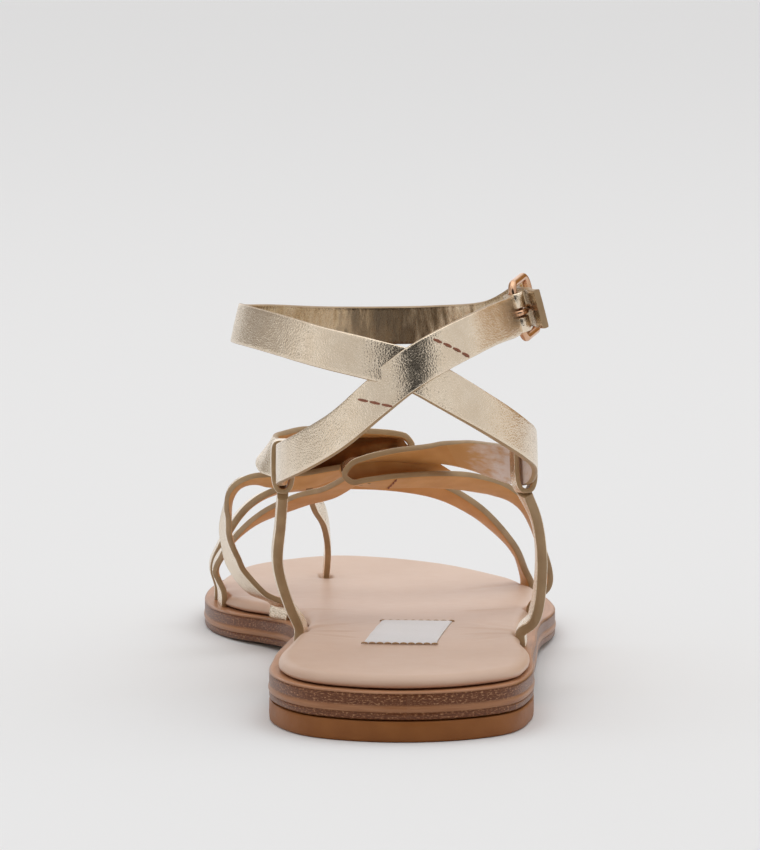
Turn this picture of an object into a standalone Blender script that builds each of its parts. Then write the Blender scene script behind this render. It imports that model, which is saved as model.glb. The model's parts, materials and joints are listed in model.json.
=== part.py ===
"""A flat strappy sandal for the right foot, modelled in metres.

X points to the lateral (outer) side of the foot, Y to the toe and Z up. The origin is on the floor,
under the middle of the heel. Routes and outlines are tables of shares of the driving dimensions.
"""
import math

import bmesh
import bpy
import numpy as np

MM = 0.001

# Overall size
SOLE_LENGTH = 252 * MM
BALL_WIDTH = 90 * MM
ANKLE_HEIGHT = 95 * MM        # floor to the middle of the ankle band
HEEL_SETBACK = 31 * MM        # back of the sole to the origin

# Bottom unit
HEEL_LIFT = 5.0 * MM
SOLE_SIDE = 6.6 * MM          # height of the stacked edge
RIB_DEPTH = 0.45 * MM         # grooves above and below the edge's middle layer
RIM = 3.5 * MM                # stacked sole showing around the insole
RIM_AT_HEEL = (0.30, 0.65)    # lateral and medial shares of it beside the heel
PAD_THICKNESS = 3.0 * MM
PAD_ROLL = 2.4 * MM           # rounding of the insole's rolled edge
TOE_SPRING = 2.6 * MM
HEEL_SHARE = 0.235            # length of the heel lift, as a share of the sole
ARCH_START, ARCH_END = 0.25, 0.74
ARCH_ROUNDING = 0.4          # share of the arch's rise that eases in and out
TOE_ROLL = 0.80

# Straps
STRAP_WIDTH = 9.5 * MM
STRAP_THICKNESS = 2.0 * MM
FOREFOOT_WIDTH = 7.5 * MM
VAMP_WIDTH = 7.4 * MM
VAMP_THICKNESS = 1.8 * MM
THONG_WIDTH = 5.6 * MM
THONG_THICKNESS = 1.6 * MM
TAB_WIDTH = 10.0 * MM
TAB_TOP_WIDTH = 5.5 * MM
TAB_THICKNESS = 2.5 * MM
LOOP_WALL = 1.2 * MM
LOOP_DROP = 1.6 * MM          # the loop's lower end, narrowing to the tab
STRAP_INSET = 3.4 * MM        # sole's edge to the middle of a strap's slot
SLOT_DEPTH = 2.5 * MM

# Label
LABEL_LENGTH = 50 * MM
LABEL_WIDTH = 17.5 * MM
LABEL_THICKNESS = 0.5 * MM
LABEL_TURN = math.radians(8.5)

# Buckle
WIRE_RADIUS = 1.0 * MM
PRONG_RADIUS = 0.75 * MM
FRAME_LENGTH = 12.5 * MM      # between the middles of its two bars
FRAME_CORNER = 1.6 * MM
WRAP_WALL = 1.1 * MM          # skived strap end round the rear bar
BUCKLE_PLACE = (0.689, 0.215, 1.022)
BUCKLE_HEADING = math.radians(20)
BUCKLE_PITCH = math.radians(7)

# Lean of the ankle's straps, top inward
ANKLE_LEAN = math.radians(13)
ANKLE_MIDDLE = 21 * MM        # its distance ahead of the origin

GAP = 0.3 * MM                # between neighbouring pieces
SLOT_GAP = 0.5 * MM           # between a strap's foot and its slot
LOOP_GAP = 0.7 * MM           # between a strap and the loop that it slides through

OUTLINE_STEPS = 3
STRAP_STEPS = 3
HALF_BALL = BALL_WIDTH / 2

# along: share of the sole's length from the heel; medial, lateral: shares of half the ball width
OUTLINE = [
    # along, medial, lateral
    (0.012, 0.296, 0.296),
    (0.047, 0.544, 0.544),
    (0.123, 0.689, 0.689),
    (0.242, 0.644, 0.752),
    (0.353, 0.556, 0.822),
    (0.480, 0.467, 0.890),
    (0.571, 0.502, 0.962),
    (0.622, 0.612, 1.026),
    (0.679, 0.785, 1.082),
    (0.746, 0.888, 1.102),
    (0.825, 0.900, 1.050),
    (0.893, 0.833, 0.862),
    (0.948, 0.680, 0.610),
    (0.986, 0.375, 0.255),
]
TOE_TIP_ACROSS = -0.08

# up: share of SOLE_SIDE from the floor side; depth: inset of the side in rib depths
SIDE_STEPS = [
    # up, depth
    (0.00, 1.6),
    (0.07, 0.2),
    (0.26, 0.0),
    (0.30, 1.0),
    (0.35, -0.2),
    (0.61, -0.3),
    (0.65, 1.0),
    (0.70, 0.0),
    (0.94, 0.1),
    (1.00, 1.0),
]

# across: share of half the ball width; along: share of the sole's length from the heel;
# up: share of ANKLE_HEIGHT; lean: degrees that the strap's width leans from upright to the toe,
# and where there is a fifth value, the degrees that it then turns about the vertical
MEDIAL_BAND = [
    # across, along, up, lean
    (0.592, 0.165, 1.007, 0),
    (0.490, 0.127, 1.002, 0),
    (0.342, 0.084, 0.984, 0),
    (0.175, 0.060, 0.952, 0),
    (0.015, 0.051, 0.909, 0),
    (-0.162, 0.058, 0.837, 0),
    (-0.340, 0.079, 0.756, 0),
    (-0.500, 0.115, 0.695, 0),
    (-0.600, 0.163, 0.653, 0),
    (-0.622, 0.218, 0.626, 0),
    (-0.600, 0.264, 0.606, 0),
    (-0.582, 0.304, 0.596, 0),
    (-0.598, 0.345, 0.600, -6, -90),
    (-0.640, 0.380, 0.600, -22, -85),
    (-0.620, 0.414, 0.610, -46, -45),
    (-0.480, 0.447, 0.626, -66, -15),
    (-0.280, 0.476, 0.626, -76),
    (-0.080, 0.491, 0.619, -76),
    (0.080, 0.497, 0.614, -80),
    (0.150, 0.500, 0.607, -86),
    (0.188, 0.501, 0.585, -90),
    (0.150, 0.502, 0.563, -90),
    (0.060, 0.503, 0.553, -88),
    (-0.090, 0.507, 0.534, -78),
    (-0.250, 0.509, 0.509, -68),
    (-0.420, 0.502, 0.493, -62),
    (-0.579, 0.499, 0.495, -66),
    (-0.688, 0.503, 0.493, -72),
    (-0.768, 0.512, 0.476, -80),
    (-0.813, 0.528, 0.441, -86),
    (-0.825, 0.549, 0.386, -90, -1),
    (-0.822, 0.573, 0.329, -90, -7),
    (-0.800, 0.593, 0.277, -90, -14),
    (-0.756, 0.608, 0.217, -90, -22),
    (-0.650, 0.613, 0.156, -90, -27),
]
MEDIAL_LOOP_ROW = 11
MEDIAL_BAND_FOOT = 0.617

LATERAL_BAND = [
    # across, along, up, lean
    (0.993, 0.584, 0.190, -88),
    (0.942, 0.568, 0.298, -85),
    (0.845, 0.545, 0.396, -78),
    (0.700, 0.516, 0.455, -70),
    (0.500, 0.487, 0.490, -66),
    (0.298, 0.466, 0.504, -66),
    (0.090, 0.458, 0.504, -68),
    (-0.080, 0.455, 0.502, -76),
    (-0.165, 0.454, 0.506, -86),
    (-0.205, 0.453, 0.530, -90),
    (-0.165, 0.452, 0.555, -88),
    (-0.080, 0.451, 0.563, -78),
    (0.069, 0.448, 0.572, -68),
    (0.207, 0.444, 0.577, -62),
    (0.340, 0.440, 0.581, -56),
    (0.470, 0.424, 0.579, -50),
    (0.590, 0.388, 0.577, -40),
    (0.675, 0.342, 0.580, -20),
    (0.724, 0.296, 0.592, 0),
    (0.748, 0.248, 0.622, 0),
    (0.729, 0.194, 0.668, 0),
    (0.656, 0.143, 0.707, 0),
    (0.546, 0.107, 0.750, 0),
    (0.375, 0.078, 0.806, 0),
    (0.178, 0.063, 0.864, 0),
    (0.020, 0.057, 0.906, 0),
    (-0.187, 0.066, 0.932, 0),
    (-0.438, 0.097, 0.955, 0),
    (-0.644, 0.143, 0.974, 0),
    (-0.784, 0.192, 0.982, 0),
    (-0.836, 0.242, 0.978, 0),
    (-0.795, 0.294, 0.963, 0),
    (-0.644, 0.337, 0.952, 0),
    (-0.356, 0.363, 0.940, 0),
    (-0.031, 0.370, 0.937, 0),
    (0.289, 0.356, 0.943, 0),
    (0.556, 0.325, 0.962, 0),
]
LATERAL_LOOP_ROW = 18
LATERAL_BAND_FOOT = 0.593

FOREFOOT_STRAP = [
    # across, along, up, lean
    (-0.852, 0.752, 0.165, -90),
    (-0.800, 0.733, 0.230, -86),
    (-0.700, 0.700, 0.294, -80),
    (-0.561, 0.662, 0.352, -72),
    (-0.399, 0.622, 0.400, -70),
    (-0.238, 0.585, 0.436, -70),
    (-0.110, 0.547, 0.488, -70),
    (0.000, 0.519, 0.538, -74),
]
FOREFOOT_FOOT = 0.752

VAMP_STRAP = [
    # across, along, up, lean
    (-0.858, 0.804, 0.160, -90),
    (-0.806, 0.800, 0.225, -88),
    (-0.700, 0.782, 0.312, -86),
    (-0.604, 0.766, 0.357, -84),
    (-0.480, 0.752, 0.386, -78),
    (-0.309, 0.740, 0.405, -68),
    (-0.082, 0.730, 0.418, -58),
    (0.207, 0.726, 0.414, -52),
    (0.440, 0.731, 0.387, -58),
    (0.649, 0.744, 0.330, -66),
    (0.840, 0.770, 0.240, -78),
    (0.945, 0.802, 0.160, -88),
]
VAMP_FOOT_MEDIAL = 0.806
VAMP_FOOT_LATERAL = 0.815

THONG = [
    # across, along, up, lean
    (-0.312, 0.741, 0.398, 20),
    (-0.273, 0.772, 0.347, 25),
    (-0.213, 0.806, 0.293, 30),
    (-0.178, 0.843, 0.216, 42),
    (-0.173, 0.868, 0.153, 65),
]
THONG_FOOT = (-0.176, 0.877)

MEDIAL_TAB = [
    # across, along, up, lean
    (-0.534, 0.359, 0.213, 90),
    (-0.601, 0.342, 0.330, 90),
    (-0.590, 0.325, 0.440, 90),
]
MEDIAL_TAB_FOOT = 0.365

LATERAL_TAB = [
    # across, along, up, lean
    (0.785, 0.311, 0.191, 90),
    (0.824, 0.306, 0.320, 90),
    (0.800, 0.300, 0.440, 90),
]
LATERAL_TAB_FOOT = 0.315


def clear_scene():
    for obj in list(bpy.data.objects):
        bpy.data.objects.remove(obj, do_unlink=True)


def smoothstep(start, end, value):
    share = min(1.0, max(0.0, (value - start) / (end - start)))
    return share * share * (3 - 2 * share)


def unit(vector):
    return vector / np.linalg.norm(vector)


def blend(first, second, start, end, place):
    share = (place - start) / (end - start)
    return first * (1 - share) + second * share


def spline(rows, steps, closed=False):
    """A centripetal curve through the rows, whose first columns are the place."""
    rows = np.array(rows, dtype=float)
    count = len(rows)
    if not closed:
        rows = np.vstack([2 * rows[0] - rows[1], rows, 2 * rows[-1] - rows[-2]])
    samples = []
    for index in range(count if closed else count - 1):
        four = [rows[(index + shift) % len(rows)] for shift in range(4)]
        knots = [0.0]
        for before, after in zip(four, four[1:]):
            knots.append(knots[-1] + math.sqrt(np.linalg.norm((after - before)[:3])))
        for step in range(steps):
            place = knots[1] + (knots[2] - knots[1]) * step / steps
            lines = [blend(four[j], four[j + 1], knots[j], knots[j + 1], place) for j in range(3)]
            curves = [blend(lines[j], lines[j + 1], knots[j], knots[j + 2], place) for j in range(2)]
            samples.append(blend(curves[0], curves[1], knots[1], knots[2], place))
    if not closed:
        samples.append(rows[-2])
    return np.array(samples)


def sole_outline():
    """The closed outline of the sole, from the heel along the lateral side and back."""
    lateral = [(outer * HALF_BALL, along * SOLE_LENGTH - HEEL_SETBACK) for along, _, outer in OUTLINE]
    medial = [(-inner * HALF_BALL, along * SOLE_LENGTH - HEEL_SETBACK) for along, inner, _ in OUTLINE]
    back = (0.0, -HEEL_SETBACK)
    tip = (TOE_TIP_ACROSS * HALF_BALL, SOLE_LENGTH - HEEL_SETBACK)
    corners = [back] + lateral + [tip] + medial[::-1]
    samples = spline(corners, OUTLINE_STEPS, closed=True)
    return np.roll(samples, OUTLINE_STEPS, axis=0)


def inset_outline(outline, inset):
    """The outline moved inward, point by point."""
    direction = np.roll(outline, -1, axis=0) - np.roll(outline, 1, axis=0)
    direction /= np.linalg.norm(direction, axis=1)[:, None]
    inward = np.column_stack([-direction[:, 1], direction[:, 0]])
    return outline + inward * inset


def insole_outline():
    """The insole's outline, which comes closer to the sole's edge beside the heel."""
    insets = []
    for x, y in OUTLINE_POINTS:
        along = share_along(y)
        beside = smoothstep(0.02, 0.09, along) * (1 - smoothstep(0.18, 0.28, along))
        share = RIM_AT_HEEL[0] if x > 0 else RIM_AT_HEEL[1]
        insets.append(RIM * (1 - beside * (1 - share)))
    return inset_outline(OUTLINE_POINTS, np.array(insets)[:, None])


def share_along(y):
    return (y + HEEL_SETBACK) / SOLE_LENGTH


def sole_bottom(y):
    """Height of the sole's lower face: up on the heel lift, down at the ball, up at the toe."""
    along = share_along(y)
    ramp = min(1.0, max(0.0, (along - ARCH_START) / (ARCH_END - ARCH_START)))
    eased = smoothstep(ARCH_START, ARCH_END, along)
    arch = (HEEL_LIFT + GAP) * (1 - ramp * (1 - ARCH_ROUNDING) - eased * ARCH_ROUNDING)
    toe = max(0.0, (along - TOE_ROLL) / (1 - TOE_ROLL))
    return arch + TOE_SPRING * toe * toe


def rim_height(y):
    return sole_bottom(y) + SOLE_SIDE


def pad_height(y):
    return rim_height(y) + GAP + PAD_THICKNESS


def edge_point(side, along, inset):
    """A point beside the sole's edge on one side (-1 medial, 1 lateral), and the way to the toe."""
    ring = inset_outline(OUTLINE_POINTS, inset)
    half = len(ring) // 2
    run = ring[:half + 1] if side > 0 else np.vstack([ring[half:], ring[:1]])[::-1]
    y = along * SOLE_LENGTH - HEEL_SETBACK
    reach = 1 * MM
    before, here, after = (np.interp(y + shift, run[:, 1], run[:, 0]) for shift in (-reach, 0, reach))
    return np.array([here, y]), unit(np.array([after - before, 2 * reach]))


def place(across, along, up):
    return np.array([across * HALF_BALL, along * SOLE_LENGTH - HEEL_SETBACK, up * ANKLE_HEIGHT])


def route(table):
    """Rows of a strap's middle line, each with the direction of its width."""
    rows = []
    for across, along, up, lean, *turn in table:
        angle = math.radians(lean)
        heading = math.radians(sum(turn))
        middle = place(across, along, up)
        inward = np.array([0.0, ANKLE_MIDDLE, middle[2]]) - middle
        cone = math.tan(ANKLE_LEAN) * smoothstep(0.6, 0.85, up)
        level = math.sin(angle) * np.array([math.sin(heading), math.cos(heading), 0.0])
        width = level + np.array([0.0, 0.0, math.cos(angle)]) + unit(inward) * cone
        rows.append(np.concatenate([middle, unit(width)]))
    return rows


def foot_rows(point, toward_toe, upward):
    """The rows of a strap's end in its slot, from the bottom up or from the top down."""
    width = np.array([toward_toe[0], toward_toe[1], 0.0])
    rim = rim_height(point[1])
    heights = (rim - SLOT_DEPTH, rim + RIB_DEPTH, rim + PAD_THICKNESS + 2 * GAP)
    rows = [np.concatenate([(point[0], point[1], height), width]) for height in heights]
    return rows if upward else rows[::-1]


def new_object(name, mesh_data):
    mesh = bpy.data.meshes.new(name)
    bmesh.ops.recalc_face_normals(mesh_data, faces=mesh_data.faces)
    mesh_data.to_mesh(mesh)
    mesh_data.free()
    mesh.shade_smooth()
    mesh.set_sharp_from_angle(angle=math.radians(40))
    obj = bpy.data.objects.new(name, mesh)
    bpy.context.scene.collection.objects.link(obj)
    return obj


def guide(obj):
    """Marks a shape that only cuts or joins another."""
    obj.hide_render = True
    obj.display_type = 'WIRE'
    return obj


def combine(obj, other, operation):
    modifier = obj.modifiers.new(operation.lower() + "_" + other.name, 'BOOLEAN')
    modifier.operation = operation
    modifier.object = other
    modifier.solver = 'EXACT'


def paint(obj, name, colour, roughness, metallic=0.0):
    material = bpy.data.materials.get(name) or bpy.data.materials.new(name)
    material.use_nodes = True
    shader = material.node_tree.nodes["Principled BSDF"]
    shader.inputs["Base Color"].default_value = (*colour, 1.0)
    shader.inputs["Roughness"].default_value = roughness
    shader.inputs["Metallic"].default_value = metallic
    obj.data.materials.append(material)


def skin(rings, closed=False):
    """A mesh through rings of points; an open run of rings gets end faces."""
    shape = bmesh.new()
    loops = [[shape.verts.new(point) for point in ring] for ring in rings]
    pairs = list(zip(loops, loops[1:]))
    if closed:
        pairs.append((loops[-1], loops[0]))
    else:
        shape.faces.new(loops[0])
        shape.faces.new(loops[-1][::-1])
    for lower, upper in pairs:
        for index in range(len(lower)):
            following = (index + 1) % len(lower)
            shape.faces.new((lower[index], upper[index], upper[following], lower[following]))
    return shape


def strap_section(width, thickness):
    """Eight corners of a flat strap with bevelled edges, as shares across and through it."""
    half_width, half_thickness = width / 2, thickness / 2
    bevel = thickness * 0.3
    return [
        (half_width - bevel, half_thickness), (half_width, half_thickness - bevel),
        (half_width, bevel - half_thickness), (half_width - bevel, -half_thickness),
        (bevel - half_width, -half_thickness), (-half_width, bevel - half_thickness),
        (-half_width, half_thickness - bevel), (bevel - half_width, half_thickness),
    ]


def strap_frames(stations):
    """Middle, travel, width and face directions at each station of a strap."""
    middles, widths = stations[:, :3], stations[:, 3:]
    travels = np.gradient(middles, axis=0)
    frames = []
    for middle, travel, width in zip(middles, travels, widths):
        travel = unit(travel)
        width = unit(width - width.dot(travel) * travel)
        frames.append((middle, travel, width, np.cross(travel, width)))
    return frames


def strap(name, rows, width, thickness, end_width=None):
    """A flat strap along the rows, tapering to end_width where that is given."""
    frames = strap_frames(spline(rows, STRAP_STEPS))
    rings = []
    for index, (middle, _, across, face) in enumerate(frames):
        share = index / (len(frames) - 1)
        here = width if end_width is None else width + (end_width - width) * share
        section = strap_section(here, thickness)
        rings.append([middle + across * a + face * b for a, b in section])
    return new_object(name, skin(rings))


def slot_box(shape, point, toward_toe, width, thickness):
    """Adds a strap's slot, open above, to a cutter's mesh."""
    rim = rim_height(point[1])
    low, high = rim - SLOT_DEPTH - GAP, rim + 3 * PAD_THICKNESS
    outward = np.array([toward_toe[1], -toward_toe[0]])
    corners = []
    for a, b in ((1, 1), (1, -1), (-1, -1), (-1, 1)):
        along, across = a * (width / 2 + SLOT_GAP), b * (thickness / 2 + SLOT_GAP)
        corners.append(point + toward_toe * along + outward * across)
    rings = [[shape.verts.new((x, y, z)) for x, y in corners] for z in (low, high)]
    shape.faces.new(rings[0])
    shape.faces.new(rings[1][::-1])
    for index in range(4):
        following = (index + 1) % 4
        shape.faces.new((rings[0][index], rings[1][index], rings[1][following], rings[0][following]))


def slots():
    """One cutter with the slots of all the straps' feet."""
    feet = [
        (-1, MEDIAL_BAND_FOOT, STRAP_WIDTH, STRAP_THICKNESS),
        (1, LATERAL_BAND_FOOT, STRAP_WIDTH, STRAP_THICKNESS),
        (-1, FOREFOOT_FOOT, FOREFOOT_WIDTH, STRAP_THICKNESS),
        (-1, VAMP_FOOT_MEDIAL, VAMP_WIDTH, VAMP_THICKNESS),
        (1, VAMP_FOOT_LATERAL, VAMP_WIDTH, VAMP_THICKNESS),
        (-1, MEDIAL_TAB_FOOT, TAB_WIDTH, TAB_THICKNESS),
        (1, LATERAL_TAB_FOOT, TAB_WIDTH, TAB_THICKNESS),
    ]
    shape = bmesh.new()
    for side, along, width, thickness in feet:
        point, toward_toe = edge_point(side, along, STRAP_INSET)
        slot_box(shape, point, toward_toe, width, thickness)
    slot_box(shape, place(*THONG_FOOT, 0)[:2], np.array([0.0, 1.0]), THONG_WIDTH, THONG_THICKNESS)
    return guide(new_object("strap_slots", shape))


def layered(name, outline, profile, bottom, height):
    """A solid on an outline; each profile row is a share of the height and an inset."""
    rings = []
    for up, inset in profile:
        ring = inset_outline(outline, inset)
        rings.append([(x, y, bottom(y) + up * height) for x, y in ring])
    count = len(outline)
    half = count // 2
    shape = bmesh.new()
    loops = [[shape.verts.new(point) for point in ring] for ring in rings]
    for lower, upper in zip(loops, loops[1:]):
        for index in range(count):
            following = (index + 1) % count
            shape.faces.new((lower[index], lower[following], upper[following], upper[index]))
    for loop in (loops[0], loops[-1]):
        for index in range(half):
            right = (loop[index], loop[index + 1])
            left = (loop[(count - index) % count], loop[count - index - 1])
            corners = dict.fromkeys((right[0], right[1], left[1], left[0]))
            if len(corners) > 2:
                shape.faces.new(list(corners))
    return new_object(name, shape)


def sole():
    profile = [(up, depth * RIB_DEPTH) for up, depth in SIDE_STEPS]
    obj = layered("sole", OUTLINE_POINTS, profile, sole_bottom, SOLE_SIDE)
    paint(obj, "stacked_leather", (0.24, 0.12, 0.065), 0.5)
    return obj


def insole():
    profile = [
        (0.0, 0.12 * PAD_ROLL), (0.25, 0.0), (0.55, 0.08 * PAD_ROLL), (0.85, 0.42 * PAD_ROLL),
        (1.0, PAD_ROLL),
    ]
    obj = layered("insole", insole_outline(), profile, lambda y: rim_height(y) + GAP, PAD_THICKNESS)
    paint(obj, "insole_leather", (0.66, 0.47, 0.37), 0.55)
    return obj


def heel_lift():
    """The flat layer under the heel, cut straight across at its front."""
    front = HEEL_SHARE * SOLE_LENGTH - HEEL_SETBACK
    shape = bmesh.new()
    loops = []
    for up, depth in ((0.0, 1.2), (0.1, 0.2), (0.9, 0.0), (1.0, 0.6)):
        ring = inset_outline(OUTLINE_POINTS, depth * RIB_DEPTH)
        half = len(ring) // 2
        lateral = [point for point in ring[:half] if point[1] < front - RIM / 2]
        medial = [point for point in ring[half:] if point[1] < front - RIM / 2]
        ends = [edge_point(side, HEEL_SHARE, depth * RIB_DEPTH)[0] for side in (1, -1)]
        corners = lateral + ends + medial
        loops.append([shape.verts.new((x, y, up * HEEL_LIFT)) for x, y in corners])
    shape.faces.new(loops[0])
    shape.faces.new(loops[-1][::-1])
    for lower, upper in zip(loops, loops[1:]):
        for index in range(len(lower)):
            following = (index + 1) % len(lower)
            shape.faces.new((lower[index], lower[following], upper[following], upper[index]))
    obj = new_object("heel_lift", shape)
    paint(obj, "heel_rubber", (0.30, 0.15, 0.06), 0.45)
    return obj


def label():
    """A plain patch that follows the insole's slope."""
    forward = np.array([math.sin(LABEL_TURN), math.cos(LABEL_TURN)])
    sideways = np.array([forward[1], -forward[0]])
    middle = place(0.11, 0.325, 0)[:2]
    rings = []
    stations = 9
    for index in range(stations):
        share = index / (stations - 1) - 0.5
        centre = middle + forward * share * LABEL_LENGTH
        ring = []
        for a, b in ((-1, 0), (1, 0), (1, 1), (-1, 1)):
            x, y = centre + sideways * a * LABEL_WIDTH / 2
            ring.append((x, y, pad_height(y) + GAP + b * LABEL_THICKNESS))
        rings.append(ring)
    obj = new_object("label", skin(rings))
    paint(obj, "label_satin", (0.74, 0.73, 0.72), 0.4)
    return obj


def buckle_axes():
    """Middle of the buckle and its directions to the toe, up and away from the ankle."""
    side = np.array([math.cos(BUCKLE_HEADING), -math.sin(BUCKLE_HEADING), 0.0])
    level = np.array([-side[1], side[0], 0.0])
    travel = level * math.cos(BUCKLE_PITCH) + np.array([0.0, 0.0, math.sin(BUCKLE_PITCH)])
    steep = np.cross(side, travel)
    upward = steep * math.cos(ANKLE_LEAN) - side * math.sin(ANKLE_LEAN)
    return place(*BUCKLE_PLACE), travel, upward, np.cross(travel, upward)


def buckle_point(forward, outward, up=0.0):
    middle, travel, upward, face = buckle_axes()
    return middle + travel * forward + face * outward + upward * up


def buckle_row(forward, outward, up=0.0):
    return np.concatenate([buckle_point(forward, outward, up), buckle_axes()[2]])


def medial_band():
    """From the buckle's rear bar behind the heel to the medial loop, and by the instep to the sole."""
    wrap_outside = WIRE_RADIUS + GAP + WRAP_WALL
    start = buckle_row(-FRAME_LENGTH / 2 - wrap_outside + WRAP_WALL / 2, 0.0)
    point, toward_toe = edge_point(-1, MEDIAL_BAND_FOOT, STRAP_INSET)
    rows = [start] + route(MEDIAL_BAND) + foot_rows(point, -toward_toe, False)
    return rows


def lateral_band():
    """From the sole by the instep and the lateral loop, round the ankle and through the buckle."""
    point, toward_toe = edge_point(1, LATERAL_BAND_FOOT, STRAP_INSET)
    half = FRAME_LENGTH / 2
    under = WIRE_RADIUS + GAP + STRAP_THICKNESS / 2
    over = WIRE_RADIUS + 2 * PRONG_RADIUS + 2 * GAP + STRAP_THICKNESS / 2
    through = [
        buckle_row(half * 1.9, -under), buckle_row(half, -under), buckle_row(half * 0.25, -under * 0.4),
        buckle_row(-half * 0.35, over * 0.62), buckle_row(-half * 0.9, over * 1.05),
        buckle_row(-half * 1.3, over * 1.6),
    ]
    return foot_rows(point, -toward_toe, True) + route(LATERAL_BAND) + through


def strap_end_wrap():
    """The strap's end folded round the buckle's rear bar, open in the middle for the prong."""
    inner = WIRE_RADIUS + GAP
    outer = inner + WRAP_WALL
    sides = 16
    rings = []
    for index in range(sides):
        angle = 2 * math.pi * index / sides
        ring = []
        for radius, up in ((inner, -1), (outer, -1), (outer, 1), (inner, 1)):
            forward = -FRAME_LENGTH / 2 + radius * math.cos(angle)
            ring.append(buckle_point(forward, radius * math.sin(angle), up * STRAP_WIDTH / 2))
        rings.append(ring)
    return guide(new_object("strap_end_wrap", skin(rings, closed=True)))


def prong_path():
    """Points of the prong's straight part, from the rear bar to its rest on the front bar."""
    half = FRAME_LENGTH / 2
    start = buckle_point(-half + WIRE_RADIUS + GAP + PRONG_RADIUS, 0.0)
    end = buckle_point(half + WIRE_RADIUS, WIRE_RADIUS + GAP + PRONG_RADIUS)
    return start, end


def prong_room():
    """A cutter for the hole and the fold's slot that the prong passes through."""
    _, _, upward, face = buckle_axes()
    start, end = prong_path()
    radius = PRONG_RADIUS + GAP
    sides = 10
    rings = []
    for middle in (start - (end - start) * 0.2, end):
        angles = [2 * math.pi * index / sides for index in range(sides)]
        rings.append([middle + upward * radius * math.cos(a) + face * radius * math.sin(a) for a in angles])
    hole = guide(new_object("prong_hole", skin(rings)))
    reach = WIRE_RADIUS + 2 * PRONG_RADIUS + 2 * GAP
    rings = []
    for outward in (-reach, reach):
        corners = ((-reach, -1), (reach, -1), (reach, 1), (-reach, 1))
        rings.append([buckle_point(a - FRAME_LENGTH / 2, outward, b * radius) for a, b in corners])
    slot = guide(new_object("prong_slot", skin(rings)))
    return hole, slot


def upper():
    """The straps of the ankle and the instep, joined where they cross and in their knot."""
    obj = strap("upper", medial_band(), STRAP_WIDTH, STRAP_THICKNESS)
    hole, slot = prong_room()
    wrap = strap_end_wrap()
    combine(obj, wrap, 'UNION')
    combine(obj, slot, 'DIFFERENCE')

    second = guide(strap("lateral_band", lateral_band(), STRAP_WIDTH, STRAP_THICKNESS))
    combine(second, hole, 'DIFFERENCE')

    point, toward_toe = edge_point(-1, FOREFOOT_FOOT, STRAP_INSET)
    rows = foot_rows(point, -toward_toe, True) + route(FOREFOOT_STRAP)
    forefoot = guide(strap("forefoot_strap", rows, FOREFOOT_WIDTH, STRAP_THICKNESS))

    for piece in (second, forefoot):
        combine(obj, piece, 'UNION')
    paint(obj, "foil_leather", (0.74, 0.66, 0.52), 0.3, 0.85)
    return obj


def vamp_strap():
    """The strap over the ball of the foot, with the thong that comes up between the toes."""
    point, toward_toe = edge_point(-1, VAMP_FOOT_MEDIAL, STRAP_INSET)
    rows = foot_rows(point, -toward_toe, True) + route(VAMP_STRAP)
    point, toward_toe = edge_point(1, VAMP_FOOT_LATERAL, STRAP_INSET)
    rows += foot_rows(point, -toward_toe, False)
    obj = strap("vamp_strap", rows, VAMP_WIDTH, VAMP_THICKNESS)

    rows = route(THONG) + foot_rows(place(*THONG_FOOT, 0)[:2], np.array([0.0, 1.0]), False)
    combine(obj, guide(strap("thong", rows, THONG_WIDTH, THONG_THICKNESS)), 'UNION')
    paint(obj, "foil_leather", (0.74, 0.66, 0.52), 0.3, 0.85)
    return obj


def side_tab(name, side, foot, table, band_rows, loop_row):
    """A side strap whose top closes in a loop round the band that slides through it."""
    frames = strap_frames(spline(band_rows, STRAP_STEPS))
    middle, travel, width, face = frames[loop_row * STRAP_STEPS]
    half_high = STRAP_WIDTH / 2 + LOOP_GAP + LOOP_WALL / 2
    half_deep = STRAP_THICKNESS / 2 + LOOP_GAP + LOOP_WALL / 2
    sides = 24
    rings = []
    for index in range(sides):
        angle = 2 * math.pi * index / sides
        high, deep = math.sin(angle), math.cos(angle)
        power, reach = (5, half_high) if high > 0 else (2.6, half_high + LOOP_DROP)
        squareness = 1 / (abs(high) ** power + abs(deep) ** power) ** (1 / power)
        line = width * high * reach + face * deep * half_deep
        outward = unit(width * high * half_deep + face * deep * reach)
        centre = middle + line * squareness
        section = strap_section(TAB_TOP_WIDTH, LOOP_WALL)
        rings.append([centre + travel * a + outward * b for a, b in section])
    loop = guide(new_object(name + "_loop", skin(rings, closed=True)))
    point, toward_toe = edge_point(side, foot, STRAP_INSET)
    top = middle - width * (half_high + LOOP_DROP + LOOP_WALL * 0.35)
    end = np.concatenate([top, travel * math.copysign(1, travel[1])])
    rows = foot_rows(point, toward_toe, True) + route(table) + [end]
    tab = strap(name, rows, TAB_WIDTH, TAB_THICKNESS, TAB_TOP_WIDTH)
    combine(tab, loop, 'UNION')
    paint(tab, "tab_leather", (0.62, 0.50, 0.34), 0.4, 0.4)
    return tab


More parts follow.
